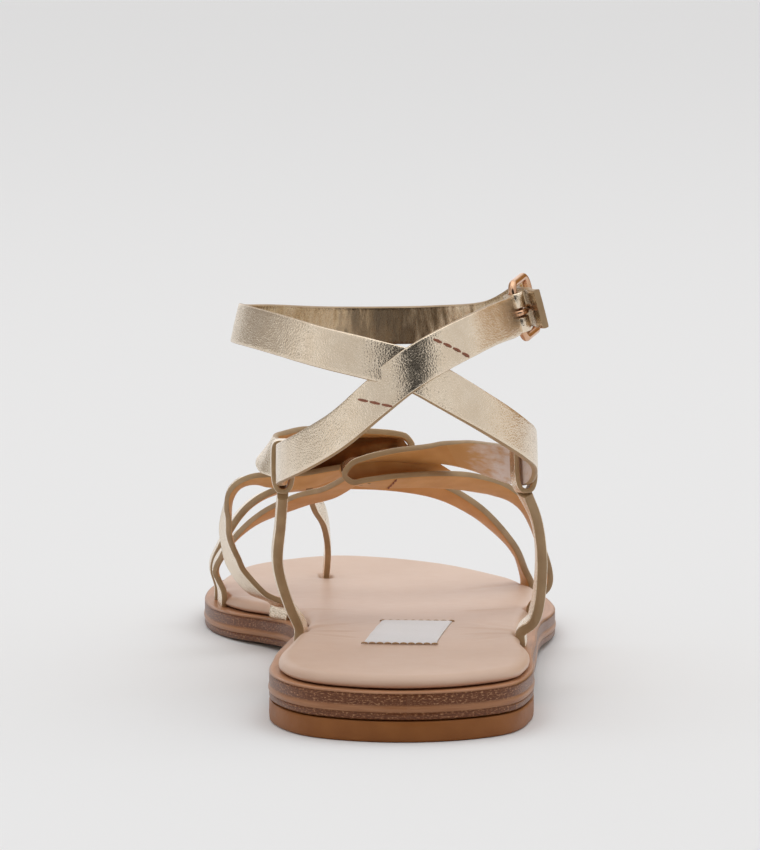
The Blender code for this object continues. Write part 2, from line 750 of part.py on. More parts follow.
def buckle_frame():
    """A wire ring with round corners in the band's plane."""
    half_long = FRAME_LENGTH / 2
    half_high = STRAP_WIDTH / 2 + GAP + FRAME_CORNER
    steps = 4
    path = []
    for forward, up, start in ((1, 1, 0), (-1, 1, 90), (-1, -1, 180), (1, -1, 270)):
        for step in range(steps + 1):
            angle = math.radians(start + 90 * step / steps)
            a = forward * (half_long - FRAME_CORNER) + FRAME_CORNER * math.cos(angle)
            b = up * (half_high - FRAME_CORNER) + FRAME_CORNER * math.sin(angle)
            path.append((a, b))
    _, travel, upward, face = buckle_axes()
    sides = 10
    rings = []
    for index, (a, b) in enumerate(path):
        before, after = path[index - 1], path[(index + 1) % len(path)]
        along = unit(np.array([after[0] - before[0], after[1] - before[1]]))
        outward = travel * along[1] - upward * along[0]
        angles = [2 * math.pi * side / sides for side in range(sides)]
        centre = buckle_point(a, 0.0, b)
        ring = [centre + (outward * math.cos(t) + face * math.sin(t)) * WIRE_RADIUS for t in angles]
        rings.append(ring)
    obj = new_object("buckle_frame", skin(rings, closed=True))
    paint(obj, "buckle_metal", (0.80, 0.56, 0.38), 0.22, 1.0)
    return obj


def buckle_prong():
    """A pin whose eye turns on the rear bar and whose tip rests on the front bar."""
    _, travel, upward, face = buckle_axes()
    start, end = prong_path()
    sides = 10
    angles = [2 * math.pi * side / sides for side in range(sides)]
    rings = []
    for share, radius in ((-0.06, 1.0), (0.3, 1.0), (0.75, 0.95), (0.96, 0.8), (1.0, 0.5)):
        middle = start + (end - start) * share
        section = [upward * math.cos(t) + face * math.sin(t) for t in angles]
        rings.append([middle + direction * PRONG_RADIUS * radius for direction in section])
    obj = new_object("buckle_prong", skin(rings))

    eye_radius = WIRE_RADIUS + GAP + PRONG_RADIUS
    turns = 16
    rings = []
    for index in range(turns):
        angle = 2 * math.pi * index / turns
        outward = travel * math.cos(angle) + face * math.sin(angle)
        centre = buckle_point(-FRAME_LENGTH / 2, 0.0) + outward * eye_radius
        rings.append([centre + (outward * math.cos(t) + upward * math.sin(t)) * PRONG_RADIUS for t in angles])
    eye = guide(new_object("prong_eye", skin(rings, closed=True)))
    combine(obj, eye, 'UNION')
    paint(obj, "buckle_metal", (0.80, 0.56, 0.38), 0.22, 1.0)
    return obj


clear_scene()
OUTLINE_POINTS = sole_outline()
cutter = slots()
for bottom_piece in (sole(), insole()):
    combine(bottom_piece, cutter, 'DIFFERENCE')
heel_lift()
label()
upper()
vamp_strap()
side_tab("medial_tab", -1, MEDIAL_TAB_FOOT, MEDIAL_TAB, medial_band(), MEDIAL_LOOP_ROW + 1)
side_tab("lateral_tab", 1, LATERAL_TAB_FOOT, LATERAL_TAB, lateral_band(), LATERAL_LOOP_ROW + 3)
buckle_frame()
buckle_prong()
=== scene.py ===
"""The looks of a flat strappy sandal for the right foot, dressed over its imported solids.

X points to the lateral (outer) side of the foot, Y to the toe and Z up, in metres, as in the solids.
"""
import json
import math

import bmesh
import bpy
import numpy as np
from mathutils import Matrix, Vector, noise

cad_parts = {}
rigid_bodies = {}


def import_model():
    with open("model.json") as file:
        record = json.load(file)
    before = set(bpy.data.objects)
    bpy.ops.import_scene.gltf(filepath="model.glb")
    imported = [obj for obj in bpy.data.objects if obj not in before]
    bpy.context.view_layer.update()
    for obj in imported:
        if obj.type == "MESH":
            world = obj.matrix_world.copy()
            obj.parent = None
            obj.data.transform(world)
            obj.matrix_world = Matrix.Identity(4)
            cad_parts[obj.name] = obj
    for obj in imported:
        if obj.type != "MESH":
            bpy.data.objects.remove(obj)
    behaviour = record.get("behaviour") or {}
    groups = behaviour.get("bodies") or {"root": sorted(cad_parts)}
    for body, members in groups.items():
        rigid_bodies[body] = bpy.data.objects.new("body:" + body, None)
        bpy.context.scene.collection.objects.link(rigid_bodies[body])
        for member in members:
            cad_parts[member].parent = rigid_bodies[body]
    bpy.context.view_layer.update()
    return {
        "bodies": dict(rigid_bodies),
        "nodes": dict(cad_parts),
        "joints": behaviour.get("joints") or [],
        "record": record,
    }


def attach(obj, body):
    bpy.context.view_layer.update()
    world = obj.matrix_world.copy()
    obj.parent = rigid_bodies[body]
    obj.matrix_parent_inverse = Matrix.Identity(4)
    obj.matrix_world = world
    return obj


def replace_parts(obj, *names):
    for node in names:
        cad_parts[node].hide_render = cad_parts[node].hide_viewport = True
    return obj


MM = 0.001

# Overall size
SOLE_LENGTH = 252 * MM
BALL_WIDTH = 90 * MM
ANKLE_HEIGHT = 95 * MM        # floor to the middle of the ankle band
HEEL_SETBACK = 31 * MM        # back of the sole to the origin

# Bottom unit
HEEL_LIFT = 5.0 * MM
SOLE_SIDE = 6.6 * MM          # height of the stacked edge
RIB_DEPTH = 0.45 * MM         # grooves above and below the edge's middle layer
RIM = 3.5 * MM                # stacked sole showing around the insole
RIM_AT_HEEL = (0.30, 0.65)    # lateral and medial shares of it beside the heel
PAD_THICKNESS = 3.0 * MM
TOE_SPRING = 2.6 * MM
HEEL_SHARE = 0.235            # length of the heel lift, as a share of the sole
ARCH_START, ARCH_END = 0.25, 0.74
ARCH_ROUNDING = 0.4          # share of the arch's rise that eases in and out
TOE_ROLL = 0.80

# Straps
STRAP_WIDTH = 9.5 * MM
STRAP_THICKNESS = 2.0 * MM
FOREFOOT_WIDTH = 7.5 * MM
VAMP_WIDTH = 7.4 * MM
VAMP_THICKNESS = 1.8 * MM
THONG_WIDTH = 5.6 * MM
THONG_THICKNESS = 1.6 * MM
TAB_WIDTH = 10.0 * MM
TAB_TOP_WIDTH = 5.5 * MM
TAB_THICKNESS = 2.5 * MM
LOOP_WALL = 1.2 * MM
STRAP_INSET = 3.4 * MM        # sole's edge to the middle of a strap's slot
SLOT_DEPTH = 2.5 * MM

# Label
LABEL_LENGTH = 50 * MM
LABEL_WIDTH = 17.5 * MM
LABEL_TURN = math.radians(8.5)

# Buckle
WIRE_RADIUS = 1.0 * MM
PRONG_RADIUS = 0.75 * MM
FRAME_LENGTH = 12.5 * MM      # between the middles of its two bars
FRAME_CORNER = 1.6 * MM
WRAP_WALL = 1.1 * MM          # skived strap end round the rear bar
BUCKLE_PLACE = (0.689, 0.215, 1.022)
BUCKLE_HEADING = math.radians(20)
BUCKLE_PITCH = math.radians(7)

# Lean of the ankle's straps, top inward
ANKLE_LEAN = math.radians(13)
ANKLE_MIDDLE = 21 * MM        # its distance ahead of the origin

GAP = 0.3 * MM                # between neighbouring pieces
LOOP_GAP = 0.7 * MM           # between a strap and the loop that it slides through

OUTLINE_STEPS = 3
HALF_BALL = BALL_WIDTH / 2

# The scene's own fineness and fit
FINE_STEPS = 40               # of the outline's curve between two of its rows
ROW_STEPS = 16                # of a strap's curve between two of its rows
FINE = 0.8 * MM               # spacing of the rings and stations
ACROSS = 12                   # spans across a strap's face
CORNER_SHARE = 0.17           # a strap edge's rounding, as a share of its thickness
BAND_DEPTH = STRAP_THICKNESS * 0.76
WRINKLE = 0.06 * MM           # height of the small waves in a strap's faces
SNUG_GAP = 0.30 * MM          # above and below a band in its loop
SNUG_DROP = 0.6 * MM          # how far the loop narrows to the tab below
MEDIAL_FOLD_ROW = 19
LATERAL_FOLD_ROW = 9
SEAM_ROW = 9.1
WHITE = (1.0, 1.0, 1.0)

# along: share of the sole's length from the heel; medial, lateral: shares of half the ball width
OUTLINE = [
    # along, medial, lateral
    (0.012, 0.296, 0.296),
    (0.047, 0.544, 0.544),
    (0.123, 0.689, 0.689),
    (0.242, 0.644, 0.752),
    (0.353, 0.556, 0.822),
    (0.480, 0.467, 0.890),
    (0.571, 0.502, 0.962),
    (0.622, 0.612, 1.026),
    (0.679, 0.785, 1.082),
    (0.746, 0.888, 1.102),
    (0.825, 0.900, 1.050),
    (0.893, 0.833, 0.862),
    (0.948, 0.680, 0.610),
    (0.986, 0.375, 0.255),
]
TOE_TIP_ACROSS = -0.08

# across: share of half the ball width; along: share of the sole's length from the heel;
# up: share of ANKLE_HEIGHT; lean: degrees that the strap's width leans from upright to the toe,
# and where there is a fifth value, the degrees that it then turns about the vertical
MEDIAL_BAND = [
    # across, along, up, lean
    (0.592, 0.165, 1.007, 0),
    (0.490, 0.127, 1.002, 0),
    (0.342, 0.084, 0.984, 0),
    (0.175, 0.060, 0.952, 0),
    (0.015, 0.051, 0.909, 0),
    (-0.162, 0.058, 0.837, 0),
    (-0.340, 0.079, 0.756, 0),
    (-0.500, 0.115, 0.695, 0),
    (-0.600, 0.163, 0.653, 0),
    (-0.622, 0.218, 0.626, 0),
    (-0.600, 0.264, 0.606, 0),
    (-0.582, 0.304, 0.596, 0),
    (-0.598, 0.345, 0.600, -6, -90),
    (-0.640, 0.380, 0.600, -22, -85),
    (-0.620, 0.414, 0.610, -46, -45),
    (-0.480, 0.447, 0.626, -66, -15),
    (-0.280, 0.476, 0.626, -76),
    (-0.080, 0.491, 0.619, -76),
    (0.080, 0.497, 0.614, -80),
    (0.150, 0.500, 0.607, -86),
    (0.188, 0.501, 0.585, -90),
    (0.150, 0.502, 0.563, -90),
    (0.060, 0.503, 0.553, -88),
    (-0.090, 0.507, 0.534, -78),
    (-0.250, 0.509, 0.509, -68),
    (-0.420, 0.502, 0.493, -62),
    (-0.579, 0.499, 0.495, -66),
    (-0.688, 0.503, 0.493, -72),
    (-0.768, 0.512, 0.476, -80),
    (-0.813, 0.528, 0.441, -86),
    (-0.825, 0.549, 0.386, -90, -1),
    (-0.822, 0.573, 0.329, -90, -7),
    (-0.800, 0.593, 0.277, -90, -14),
    (-0.756, 0.608, 0.217, -90, -22),
    (-0.650, 0.613, 0.156, -90, -27),
]
MEDIAL_LOOP_ROW = 11

LATERAL_BAND = [
    (0.993, 0.584, 0.190, -88),
    (0.942, 0.568, 0.298, -85),
    (0.845, 0.545, 0.396, -78),
    (0.700, 0.516, 0.455, -70),
    (0.500, 0.487, 0.490, -66),
    (0.298, 0.466, 0.504, -66),
    (0.090, 0.458, 0.504, -68),
    (-0.080, 0.455, 0.502, -76),
    (-0.165, 0.454, 0.506, -86),
    (-0.205, 0.453, 0.530, -90),
    (-0.165, 0.452, 0.555, -88),
    (-0.080, 0.451, 0.563, -78),
    (0.069, 0.448, 0.572, -68),
    (0.207, 0.444, 0.577, -62),
    (0.340, 0.440, 0.581, -56),
    (0.470, 0.424, 0.579, -50),
    (0.590, 0.388, 0.577, -40),
    (0.675, 0.342, 0.580, -20),
    (0.724, 0.296, 0.592, 0),
    (0.748, 0.248, 0.622, 0),
    (0.729, 0.194, 0.668, 0),
    (0.656, 0.143, 0.707, 0),
    (0.546, 0.107, 0.750, 0),
    (0.375, 0.078, 0.806, 0),
    (0.178, 0.063, 0.864, 0),
    (0.020, 0.057, 0.906, 0),
    (-0.187, 0.066, 0.932, 0),
    (-0.438, 0.097, 0.955, 0),
    (-0.644, 0.143, 0.974, 0),
    (-0.784, 0.192, 0.982, 0),
    (-0.836, 0.242, 0.978, 0),
    (-0.795, 0.294, 0.963, 0),
    (-0.644, 0.337, 0.952, 0),
    (-0.356, 0.363, 0.940, 0),
    (-0.031, 0.370, 0.937, 0),
    (0.289, 0.356, 0.943, 0),
    (0.556, 0.325, 0.962, 0),
]
LATERAL_LOOP_ROW = 18

FOREFOOT_STRAP = [
    (-0.852, 0.752, 0.165, -90),
    (-0.800, 0.733, 0.230, -86),
    (-0.700, 0.700, 0.294, -80),
    (-0.561, 0.662, 0.352, -72),
    (-0.399, 0.622, 0.400, -70),
    (-0.238, 0.585, 0.436, -70),
    (-0.110, 0.547, 0.488, -70),
    (0.000, 0.519, 0.538, -74),
]

VAMP_STRAP = [
    (-0.858, 0.804, 0.160, -90),
    (-0.806, 0.800, 0.225, -88),
    (-0.700, 0.782, 0.312, -86),
    (-0.604, 0.766, 0.357, -84),
    (-0.480, 0.752, 0.386, -78),
    (-0.309, 0.740, 0.405, -68),
    (-0.082, 0.730, 0.418, -58),
    (0.207, 0.726, 0.414, -52),
    (0.440, 0.731, 0.387, -58),
    (0.649, 0.744, 0.330, -66),
    (0.840, 0.770, 0.240, -78),
    (0.945, 0.802, 0.160, -88),
]

THONG = [
    (-0.312, 0.741, 0.398, 20),
    (-0.273, 0.772, 0.347, 25),
    (-0.213, 0.806, 0.293, 30),
    (-0.178, 0.843, 0.216, 42),
    (-0.173, 0.868, 0.153, 65),
]
THONG_FOOT = (-0.176, 0.877)

MEDIAL_TAB = [
    (-0.534, 0.359, 0.213, 90),
    (-0.601, 0.342, 0.330, 90),
    (-0.590, 0.325, 0.440, 90),
]

LATERAL_TAB = [
    (0.785, 0.311, 0.191, 90),
    (0.824, 0.306, 0.320, 90),
    (0.800, 0.300, 0.440, 90),
]

# side (-1 medial, 1 lateral), share of the sole's length from the heel, width and thickness
FEET = {
    "medial_band": (-1, 0.617, STRAP_WIDTH, STRAP_THICKNESS),
    "lateral_band": (1, 0.593, STRAP_WIDTH, STRAP_THICKNESS),
    "forefoot": (-1, 0.752, FOREFOOT_WIDTH, STRAP_THICKNESS),
    "medial_vamp": (-1, 0.806, VAMP_WIDTH, VAMP_THICKNESS),
    "lateral_vamp": (1, 0.815, VAMP_WIDTH, VAMP_THICKNESS),
    "medial_tab": (-1, 0.365, TAB_WIDTH, TAB_THICKNESS),
    "lateral_tab": (1, 0.315, TAB_WIDTH, TAB_THICKNESS),
}


def smoothstep(start, end, value):
    share = np.clip((value - start) / (end - start), 0, 1)
    return share * share * (3 - 2 * share)


def unit(vector):
    return vector / np.linalg.norm(vector)


def blend(first, second, start, end, place):
    share = (place - start) / (end - start)
    return first * (1 - share) + second * share


def spline(rows, steps, closed=False):
    """A centripetal curve through the rows, whose first columns are the place."""
    rows = np.array(rows, dtype=float)
    count = len(rows)
    if not closed:
        rows = np.vstack([2 * rows[0] - rows[1], rows, 2 * rows[-1] - rows[-2]])
    samples = []
    for index in range(count if closed else count - 1):
        four = [rows[(index + shift) % len(rows)] for shift in range(4)]
        knots = [0.0]
        for before, after in zip(four, four[1:]):
            knots.append(knots[-1] + math.sqrt(np.linalg.norm((after - before)[:3])))
        for step in range(steps):
            place = knots[1] + (knots[2] - knots[1]) * step / steps
            lines = [blend(four[j], four[j + 1], knots[j], knots[j + 1], place) for j in range(3)]
            curves = [blend(lines[j], lines[j + 1], knots[j], knots[j + 2], place) for j in range(2)]
            samples.append(blend(curves[0], curves[1], knots[1], knots[2], place))
    if not closed:
        samples.append(rows[-2])
    return np.array(samples)


def sole_outline(steps):
    """The closed outline of the sole, from the heel along the lateral side and back."""
    lateral = [(outer * HALF_BALL, along * SOLE_LENGTH - HEEL_SETBACK) for along, _, outer in OUTLINE]
    medial = [(-inner * HALF_BALL, along * SOLE_LENGTH - HEEL_SETBACK) for along, inner, _ in OUTLINE]
    tip = (TOE_TIP_ACROSS * HALF_BALL, SOLE_LENGTH - HEEL_SETBACK)
    corners = [(0.0, -HEEL_SETBACK)] + lateral + [tip] + medial[::-1]
    return np.roll(spline(corners, steps, closed=True), steps, axis=0)


def inset_outline(outline, inset):
    """The outline moved inward, point by point."""
    direction = np.roll(outline, -1, axis=0) - np.roll(outline, 1, axis=0)
    direction /= np.linalg.norm(direction, axis=1)[:, None]
    inward = np.column_stack([-direction[:, 1], direction[:, 0]])
    return outline + inward * inset


def along_line(points):
    """Distance along a line to each of its points."""
    return np.concatenate([[0.0], np.cumsum(np.linalg.norm(np.diff(points, axis=0), axis=1))])


def read_at(spots, places, table):
    """The columns of a table between its rows, which stand at the places."""
    return np.column_stack([np.interp(spots, places, column) for column in table.T])


def share_along(y):
    return (y + HEEL_SETBACK) / SOLE_LENGTH


def sole_bottom(y):
    """Height of the sole's lower face: up on the heel lift, down at the ball, up at the toe."""
    along = share_along(y)
    ramp = np.clip((along - ARCH_START) / (ARCH_END - ARCH_START), 0, 1)
    eased = smoothstep(ARCH_START, ARCH_END, along)
    arch = (HEEL_LIFT + GAP) * (1 - ramp * (1 - ARCH_ROUNDING) - eased * ARCH_ROUNDING)
    toe = np.maximum(0.0, (along - TOE_ROLL) / (1 - TOE_ROLL))
    return arch + TOE_SPRING * toe * toe


def rim_height(y):
    return sole_bottom(y) + SOLE_SIDE


def pad_height(y):
    return rim_height(y) + GAP + PAD_THICKNESS


def edge_point(side, along, inset):
    """A point beside the sole's edge on one side (-1 medial, 1 lateral), and the way to the toe."""
    ring = inset_outline(OUTLINE_POINTS, inset)
    half = len(ring) // 2
    run = ring[:half + 1] if side > 0 else np.vstack([ring[half:], ring[:1]])[::-1]
    y = along * SOLE_LENGTH - HEEL_SETBACK
    reach = 1 * MM
    before, here, after = (np.interp(y + shift, run[:, 1], run[:, 0]) for shift in (-reach, 0, reach))
    return np.array([here, y]), unit(np.array([after - before, 2 * reach]))


def place(across, along, up):
    return np.array([across * HALF_BALL, along * SOLE_LENGTH - HEEL_SETBACK, up * ANKLE_HEIGHT])


def route(table):
    """Rows of a strap's middle line, each with the direction of its width."""
    rows = []
    for across, along, up, lean, *turn in table:
        angle = math.radians(lean)
        heading = math.radians(sum(turn))
        middle = place(across, along, up)
        inward = np.array([0.0, ANKLE_MIDDLE, middle[2]]) - middle
        cone = math.tan(ANKLE_LEAN) * smoothstep(0.6, 0.85, up)
        level = math.sin(angle) * np.array([math.sin(heading), math.cos(heading), 0.0])
        width = level + np.array([0.0, 0.0, math.cos(angle)]) + unit(inward) * cone
        rows.append(np.concatenate([middle, unit(width)]))
    return rows


def slot_at(name):
    """Middle and direction of a strap's slot, in plan."""
    side, along, _, _ = FEET[name]
    return edge_point(side, along, STRAP_INSET)


def foot_rows(point, toward_toe, turn=-1):
    """The rows of a strap's end in its slot, from the bottom up; turn is -1 where its width points back."""
    width = turn * np.array([*toward_toe, 0.0])
    rim = rim_height(point[1])
    heights = (rim - SLOT_DEPTH, rim + RIB_DEPTH, rim + PAD_THICKNESS + 2 * GAP)
    return [np.concatenate([(*point, height), width]) for height in heights]


def buckle_axes():
    """Middle of the buckle and its directions to the toe, up and away from the ankle."""
    side = np.array([math.cos(BUCKLE_HEADING), -math.sin(BUCKLE_HEADING), 0.0])
    level = np.array([-side[1], side[0], 0.0])
    travel = level * math.cos(BUCKLE_PITCH) + np.array([0.0, 0.0, math.sin(BUCKLE_PITCH)])
    steep = np.cross(side, travel)
    upward = steep * math.cos(ANKLE_LEAN) - side * math.sin(ANKLE_LEAN)
    return place(*BUCKLE_PLACE), travel, upward, np.cross(travel, upward)


def buckle_point(forward, outward, up=0.0):
    middle, travel, upward, face = buckle_axes()
    return middle + travel * forward + face * outward + upward * up


def buckle_row(forward, outward, up=0.0):
    return np.concatenate([buckle_point(forward, outward, up), buckle_axes()[2]])


def medial_band():
    """From the buckle's rear bar behind the heel to the medial loop, and by the instep to the sole."""
    wrap_outside = WIRE_RADIUS + GAP + WRAP_WALL
    start = buckle_row(-FRAME_LENGTH / 2 - wrap_outside + WRAP_WALL / 2, 0.0)
    return [start] + route(MEDIAL_BAND) + foot_rows(*slot_at("medial_band"))[::-1]


def lateral_band():
    """From the sole by the instep and the lateral loop, round the ankle and through the buckle."""
    half = FRAME_LENGTH / 2
    under = WIRE_RADIUS + GAP + STRAP_THICKNESS / 2
    over = WIRE_RADIUS + 2 * PRONG_RADIUS + 2 * GAP + STRAP_THICKNESS / 2
    through = [
        buckle_row(half * 1.9, -under), buckle_row(half, -under), buckle_row(half * 0.25, -under * 0.4),
        buckle_row(-half * 0.35, over * 0.62), buckle_row(-half * 0.9, over * 1.05),
        buckle_row(-half * 1.3, over * 1.6),
    ]
    return foot_rows(*slot_at("lateral_band")) + route(LATERAL_BAND) + through


def linked(name, data):
    obj = bpy.data.objects.new(name, data)
    bpy.context.scene.collection.objects.link(obj)
    return obj


def mesh_object(name, points, faces, materials, slots=None, uvs=None):
    """A smooth mesh piece that rides on the body; slots holds each face's material number."""
    mesh = bpy.data.meshes.new(name)
    mesh.from_pydata([tuple(p) for p in points], [], faces)
    for material in materials:
        mesh.materials.append(material)
    mesh.polygons.foreach_set("material_index", slots or [0] * len(faces))
    if uvs is not None:
        layer = mesh.uv_layers.new(name="UVMap")
        corners = np.zeros(len(mesh.loops), dtype=np.int32)
        mesh.loops.foreach_get("vertex_index", corners)
        layer.data.foreach_set("uv", np.array(uvs)[corners].astype(np.float32).ravel())
    shape = bmesh.new()
    shape.from_mesh(mesh)
    bmesh.ops.remove_doubles(shape, verts=shape.verts, dist=1e-7)
    bmesh.ops.recalc_face_normals(shape, faces=shape.faces)
    shape.to_mesh(mesh)
    shape.free()
    mesh.shade_smooth()
    mesh.set_sharp_from_angle(angle=math.radians(50))
    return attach(linked(name, mesh), "root")


def sweep(rings, closed=False, caps=True):
    """Points and faces through rings of one size, and each face's place round its ring, -1 for a cap."""
    rings = np.array(rings)
    count, size = rings.shape[:2]
    faces, spots = [], []
    for i in range(count if closed else count - 1):
        for j in range(size):
            k = (j + 1) % size
            m = (i + 1) % count
            faces.append((i * size + j, m * size + j, m * size + k, i * size + k))
            spots.append(j)
    if caps and not closed:
        faces.append(tuple(range(size)))
        faces.append(tuple((count - 1) * size + j for j in reversed(range(size))))
        spots += [-1, -1]
    return rings.reshape(-1, 3), faces, spots


def circle(middle, first, second, radius, count):
    """Points round a circle that lies in two directions."""
    angles = np.linspace(0, 2 * math.pi, count, endpoint=False)
    return [middle + (first * math.cos(t) + second * math.sin(t)) * radius for t in angles]


# Materials

def add_node(tree, kind, **settings):
    """A node; a name that isn't one of its settings is an input's, with _ for a space."""
    made = tree.nodes.new(kind)
    for key, value in settings.items():
        if hasattr(made, key):
            setattr(made, key, value)
        else:
            made.inputs[key.replace("_", " ")].default_value = value
    return made


class Finish:
    """A material with its nodes."""

    def __init__(self, name, colour, roughness, metallic=0.0, specular=0.5):
        self.material = bpy.data.materials.new(name)
        self.material.use_nodes = True
        self.tree = self.material.node_tree
        self.shader = self.tree.nodes["Principled BSDF"]
        for key, value in (("Base Color", colour), ("Roughness", roughness), ("Metallic", metallic),
                           ("Specular IOR Level", specular)):
            self.set(key, value)
        self.place = add_node(self.tree, "ShaderNodeTexCoord")
        self.relief = None

    def texture(self, kind, source, stretch, output, **settings):
        """A texture's output, read at a place on the surface that stretch may scale."""
        made = add_node(self.tree, kind, **settings)
        source = source or self.place.outputs["Object"]
        if stretch:
            mapping = add_node(self.tree, "ShaderNodeMapping", Scale=stretch)
            self.feed(source, mapping.inputs["Vector"])
            source = mapping.outputs["Vector"]
        self.feed(source, made.inputs["Vector"])
        return made.outputs[output]

    def feed(self, source, target):
        """Sets a socket to a number or a colour, or links an output to it."""
        if isinstance(source, (int, float)):
            target.default_value = source
        elif isinstance(source, tuple):
            target.default_value = (*source, 1.0)
        else:
            self.tree.links.new(source, target)

    def noise(self, scale, detail, source=None, stretch=None, roughness=0.5):
        return self.texture("ShaderNodeTexNoise", source, stretch, "Fac",
                            Scale=scale, Detail=detail, Roughness=roughness)

    def cells(self, scale, top):
        """Pebbles whose height is 1 from the distance top to their edges."""
        made = self.texture("ShaderNodeTexVoronoi", None, None, "Distance",
                            feature='DISTANCE_TO_EDGE', Scale=scale)
        return self.range(made, 0.0, 1.0, 0.0, top)

    def waves(self, scale, direction, source=None):
        return self.texture("ShaderNodeTexWave", source, None, "Fac",
                            wave_type='BANDS', bands_direction=direction, Scale=scale)

    def part_of(self, source, axis):
        split = add_node(self.tree, "ShaderNodeSeparateXYZ")
        self.feed(source, split.inputs[0])
        return split.outputs[axis]

    def across_foot(self, streaks, reach):
        """The place across the foot, which wanders by reach with the streaks."""
        made = add_node(self.tree, "ShaderNodeMath", operation='ADD')
        self.feed(self.part_of(self.place.outputs["Object"], "X"), made.inputs[0])
        self.feed(self.range(streaks, -reach, reach, 0.3, 0.7), made.inputs[1])
        return made.outputs[0]

    def ramp(self, source, stops):
        made = add_node(self.tree, "ShaderNodeValToRGB")
        elements = made.color_ramp.elements
        while len(elements) < len(stops):
            elements.new(0.5)
        for element, (spot, colour) in zip(elements, stops):
            element.position = spot
            element.color = (*colour, 1.0)
        self.feed(source, made.inputs["Fac"])
        return made.outputs["Color"]

    def range(self, source, low, high, start=0.0, end=1.0):
        made = add_node(self.tree, "ShaderNodeMapRange",
                        From_Min=start, From_Max=end, To_Min=low, To_Max=high)
        self.feed(source, made.inputs["Value"])
        return made.outputs["Result"]

    def mix(self, share, first, second, kind='MIX'):
        made = add_node(self.tree, "ShaderNodeMix", data_type='RGBA', blend_type=kind)
        for source, number in ((share, 0), (first, 6), (second, 7)):
            self.feed(source, made.inputs[number])
        return made.outputs[2]

    def set(self, name, source):
        self.feed(source, self.shader.inputs[name])

    def bump(self, source, height, strength):
        """Adds relief over what is there; height is in metres."""
        made = add_node(self.tree, "ShaderNodeBump", Distance=height, Strength=strength)
        self.feed(source, made.inputs["Height"])
        if self.relief:
            self.feed(self.relief, made.inputs["Normal"])
        self.relief = made.outputs["Normal"]
        self.set("Normal", self.relief)


def surface(name, colour, roughness, cloud, gloss, relief, **shine):
    """A material; cloud, gloss and each row of relief give the scale and detail of their texture first."""
    made = Finish(name, colour, roughness, **shine)
    if cloud:
        scale, detail, first, second = cloud
        made.set("Base Color", made.ramp(made.noise(scale, detail), [(0.3, first), (0.7, second)]))
    if gloss:
        scale, detail, low, high = gloss
        made.set("Roughness", made.range(made.noise(scale, detail), low, high))
    for texture, scale, detail, height, strength in relief:
        made.bump(texture(made, scale, detail), height, strength)
    return made.material


NOISE, CELLS = Finish.noise, Finish.cells


def creased_foil_with_painted_reflection():
    """The foil on the straps' inner faces, creased across by the bend, with painted reflection: dark and
    pale bands across the foot stand in for the dark zones that it would reflect.
    """
    made = Finish("foil_leather_creased_painted_reflection", (0.80, 0.63, 0.43), 0.28, 0.96)
    strip = made.place.outputs["UV"]
    creases = made.noise(360, 4, strip, (1.0, 0.22, 1.0), 0.62)
    fine = made.noise(1500, 3, strip, (1.0, 0.45, 1.0))
    tone = made.ramp(creases, [(0.25, (0.56, 0.42, 0.27)), (0.45, (0.76, 0.60, 0.43)),
                               (0.75, (0.86, 0.73, 0.57))])
    # painted reflection: dark and pale bands by the place across the foot, multiplied into the foil's colour
    painted_reflection = made.ramp(made.range(made.across_foot(creases, 0.008), 0.0, 1.0, -0.045, 0.045), [
        (0.00, (0.80, 0.78, 0.72)), (0.20, (0.62, 0.56, 0.44)), (0.34, (0.78, 0.74, 0.66)),
        (0.43, (0.30, 0.27, 0.23)), (0.55, (0.16, 0.14, 0.12)), (0.63, (0.34, 0.31, 0.27)),
        (0.72, (0.88, 0.86, 0.82)), (0.82, (0.60, 0.57, 0.50)), (1.00, (0.90, 0.88, 0.84)),
    ])
    made.set("Base Color", made.mix(1.0, tone, painted_reflection, 'MULTIPLY'))
    made.set("Roughness", made.range(fine, 0.18, 0.34))
    made.bump(creases, 0.00045, 1.0)
    made.bump(fine, 0.00010, 1.0)
    return made.material


def pale_lining():
    """The lining where it turns from tan to a pale satin, by the lateral loop."""
    made = Finish("lining_leather_pale", (0.74, 0.60, 0.54), 0.34, 0.12)
    streaks = made.noise(300, 4, made.place.outputs["UV"], (0.35, 1.6, 1.0), 0.6)
    pale = made.ramp(streaks, [(0.34, (0.68, 0.48, 0.34)), (0.46, (0.76, 0.62, 0.55)),
                               (0.8, (0.82, 0.72, 0.68))])
    share = made.range(made.across_foot(streaks, 0.004), 0.0, 1.0, 0.0215, 0.0290)
    made.set("Base Color", made.mix(share, (0.62, 0.32, 0.11), pale))
    made.bump(streaks, 0.00006, 0.6)
    return made.material


def painted_shade_lining():
    """A darkened, bronze-toned copy of the lining: painted shade for the strap's inner face deep in the
    knot.
    """
    made = Finish("lining_leather_shaded", (0.34, 0.15, 0.05), 0.24, 0.65)
    waves = made.noise(160, 4)
    made.set("Base Color", made.ramp(waves, [(0.35, (0.20, 0.08, 0.025)), (0.65, (0.46, 0.23, 0.09))]))
    made.bump(waves, 0.0006, 0.8)
    return made.material


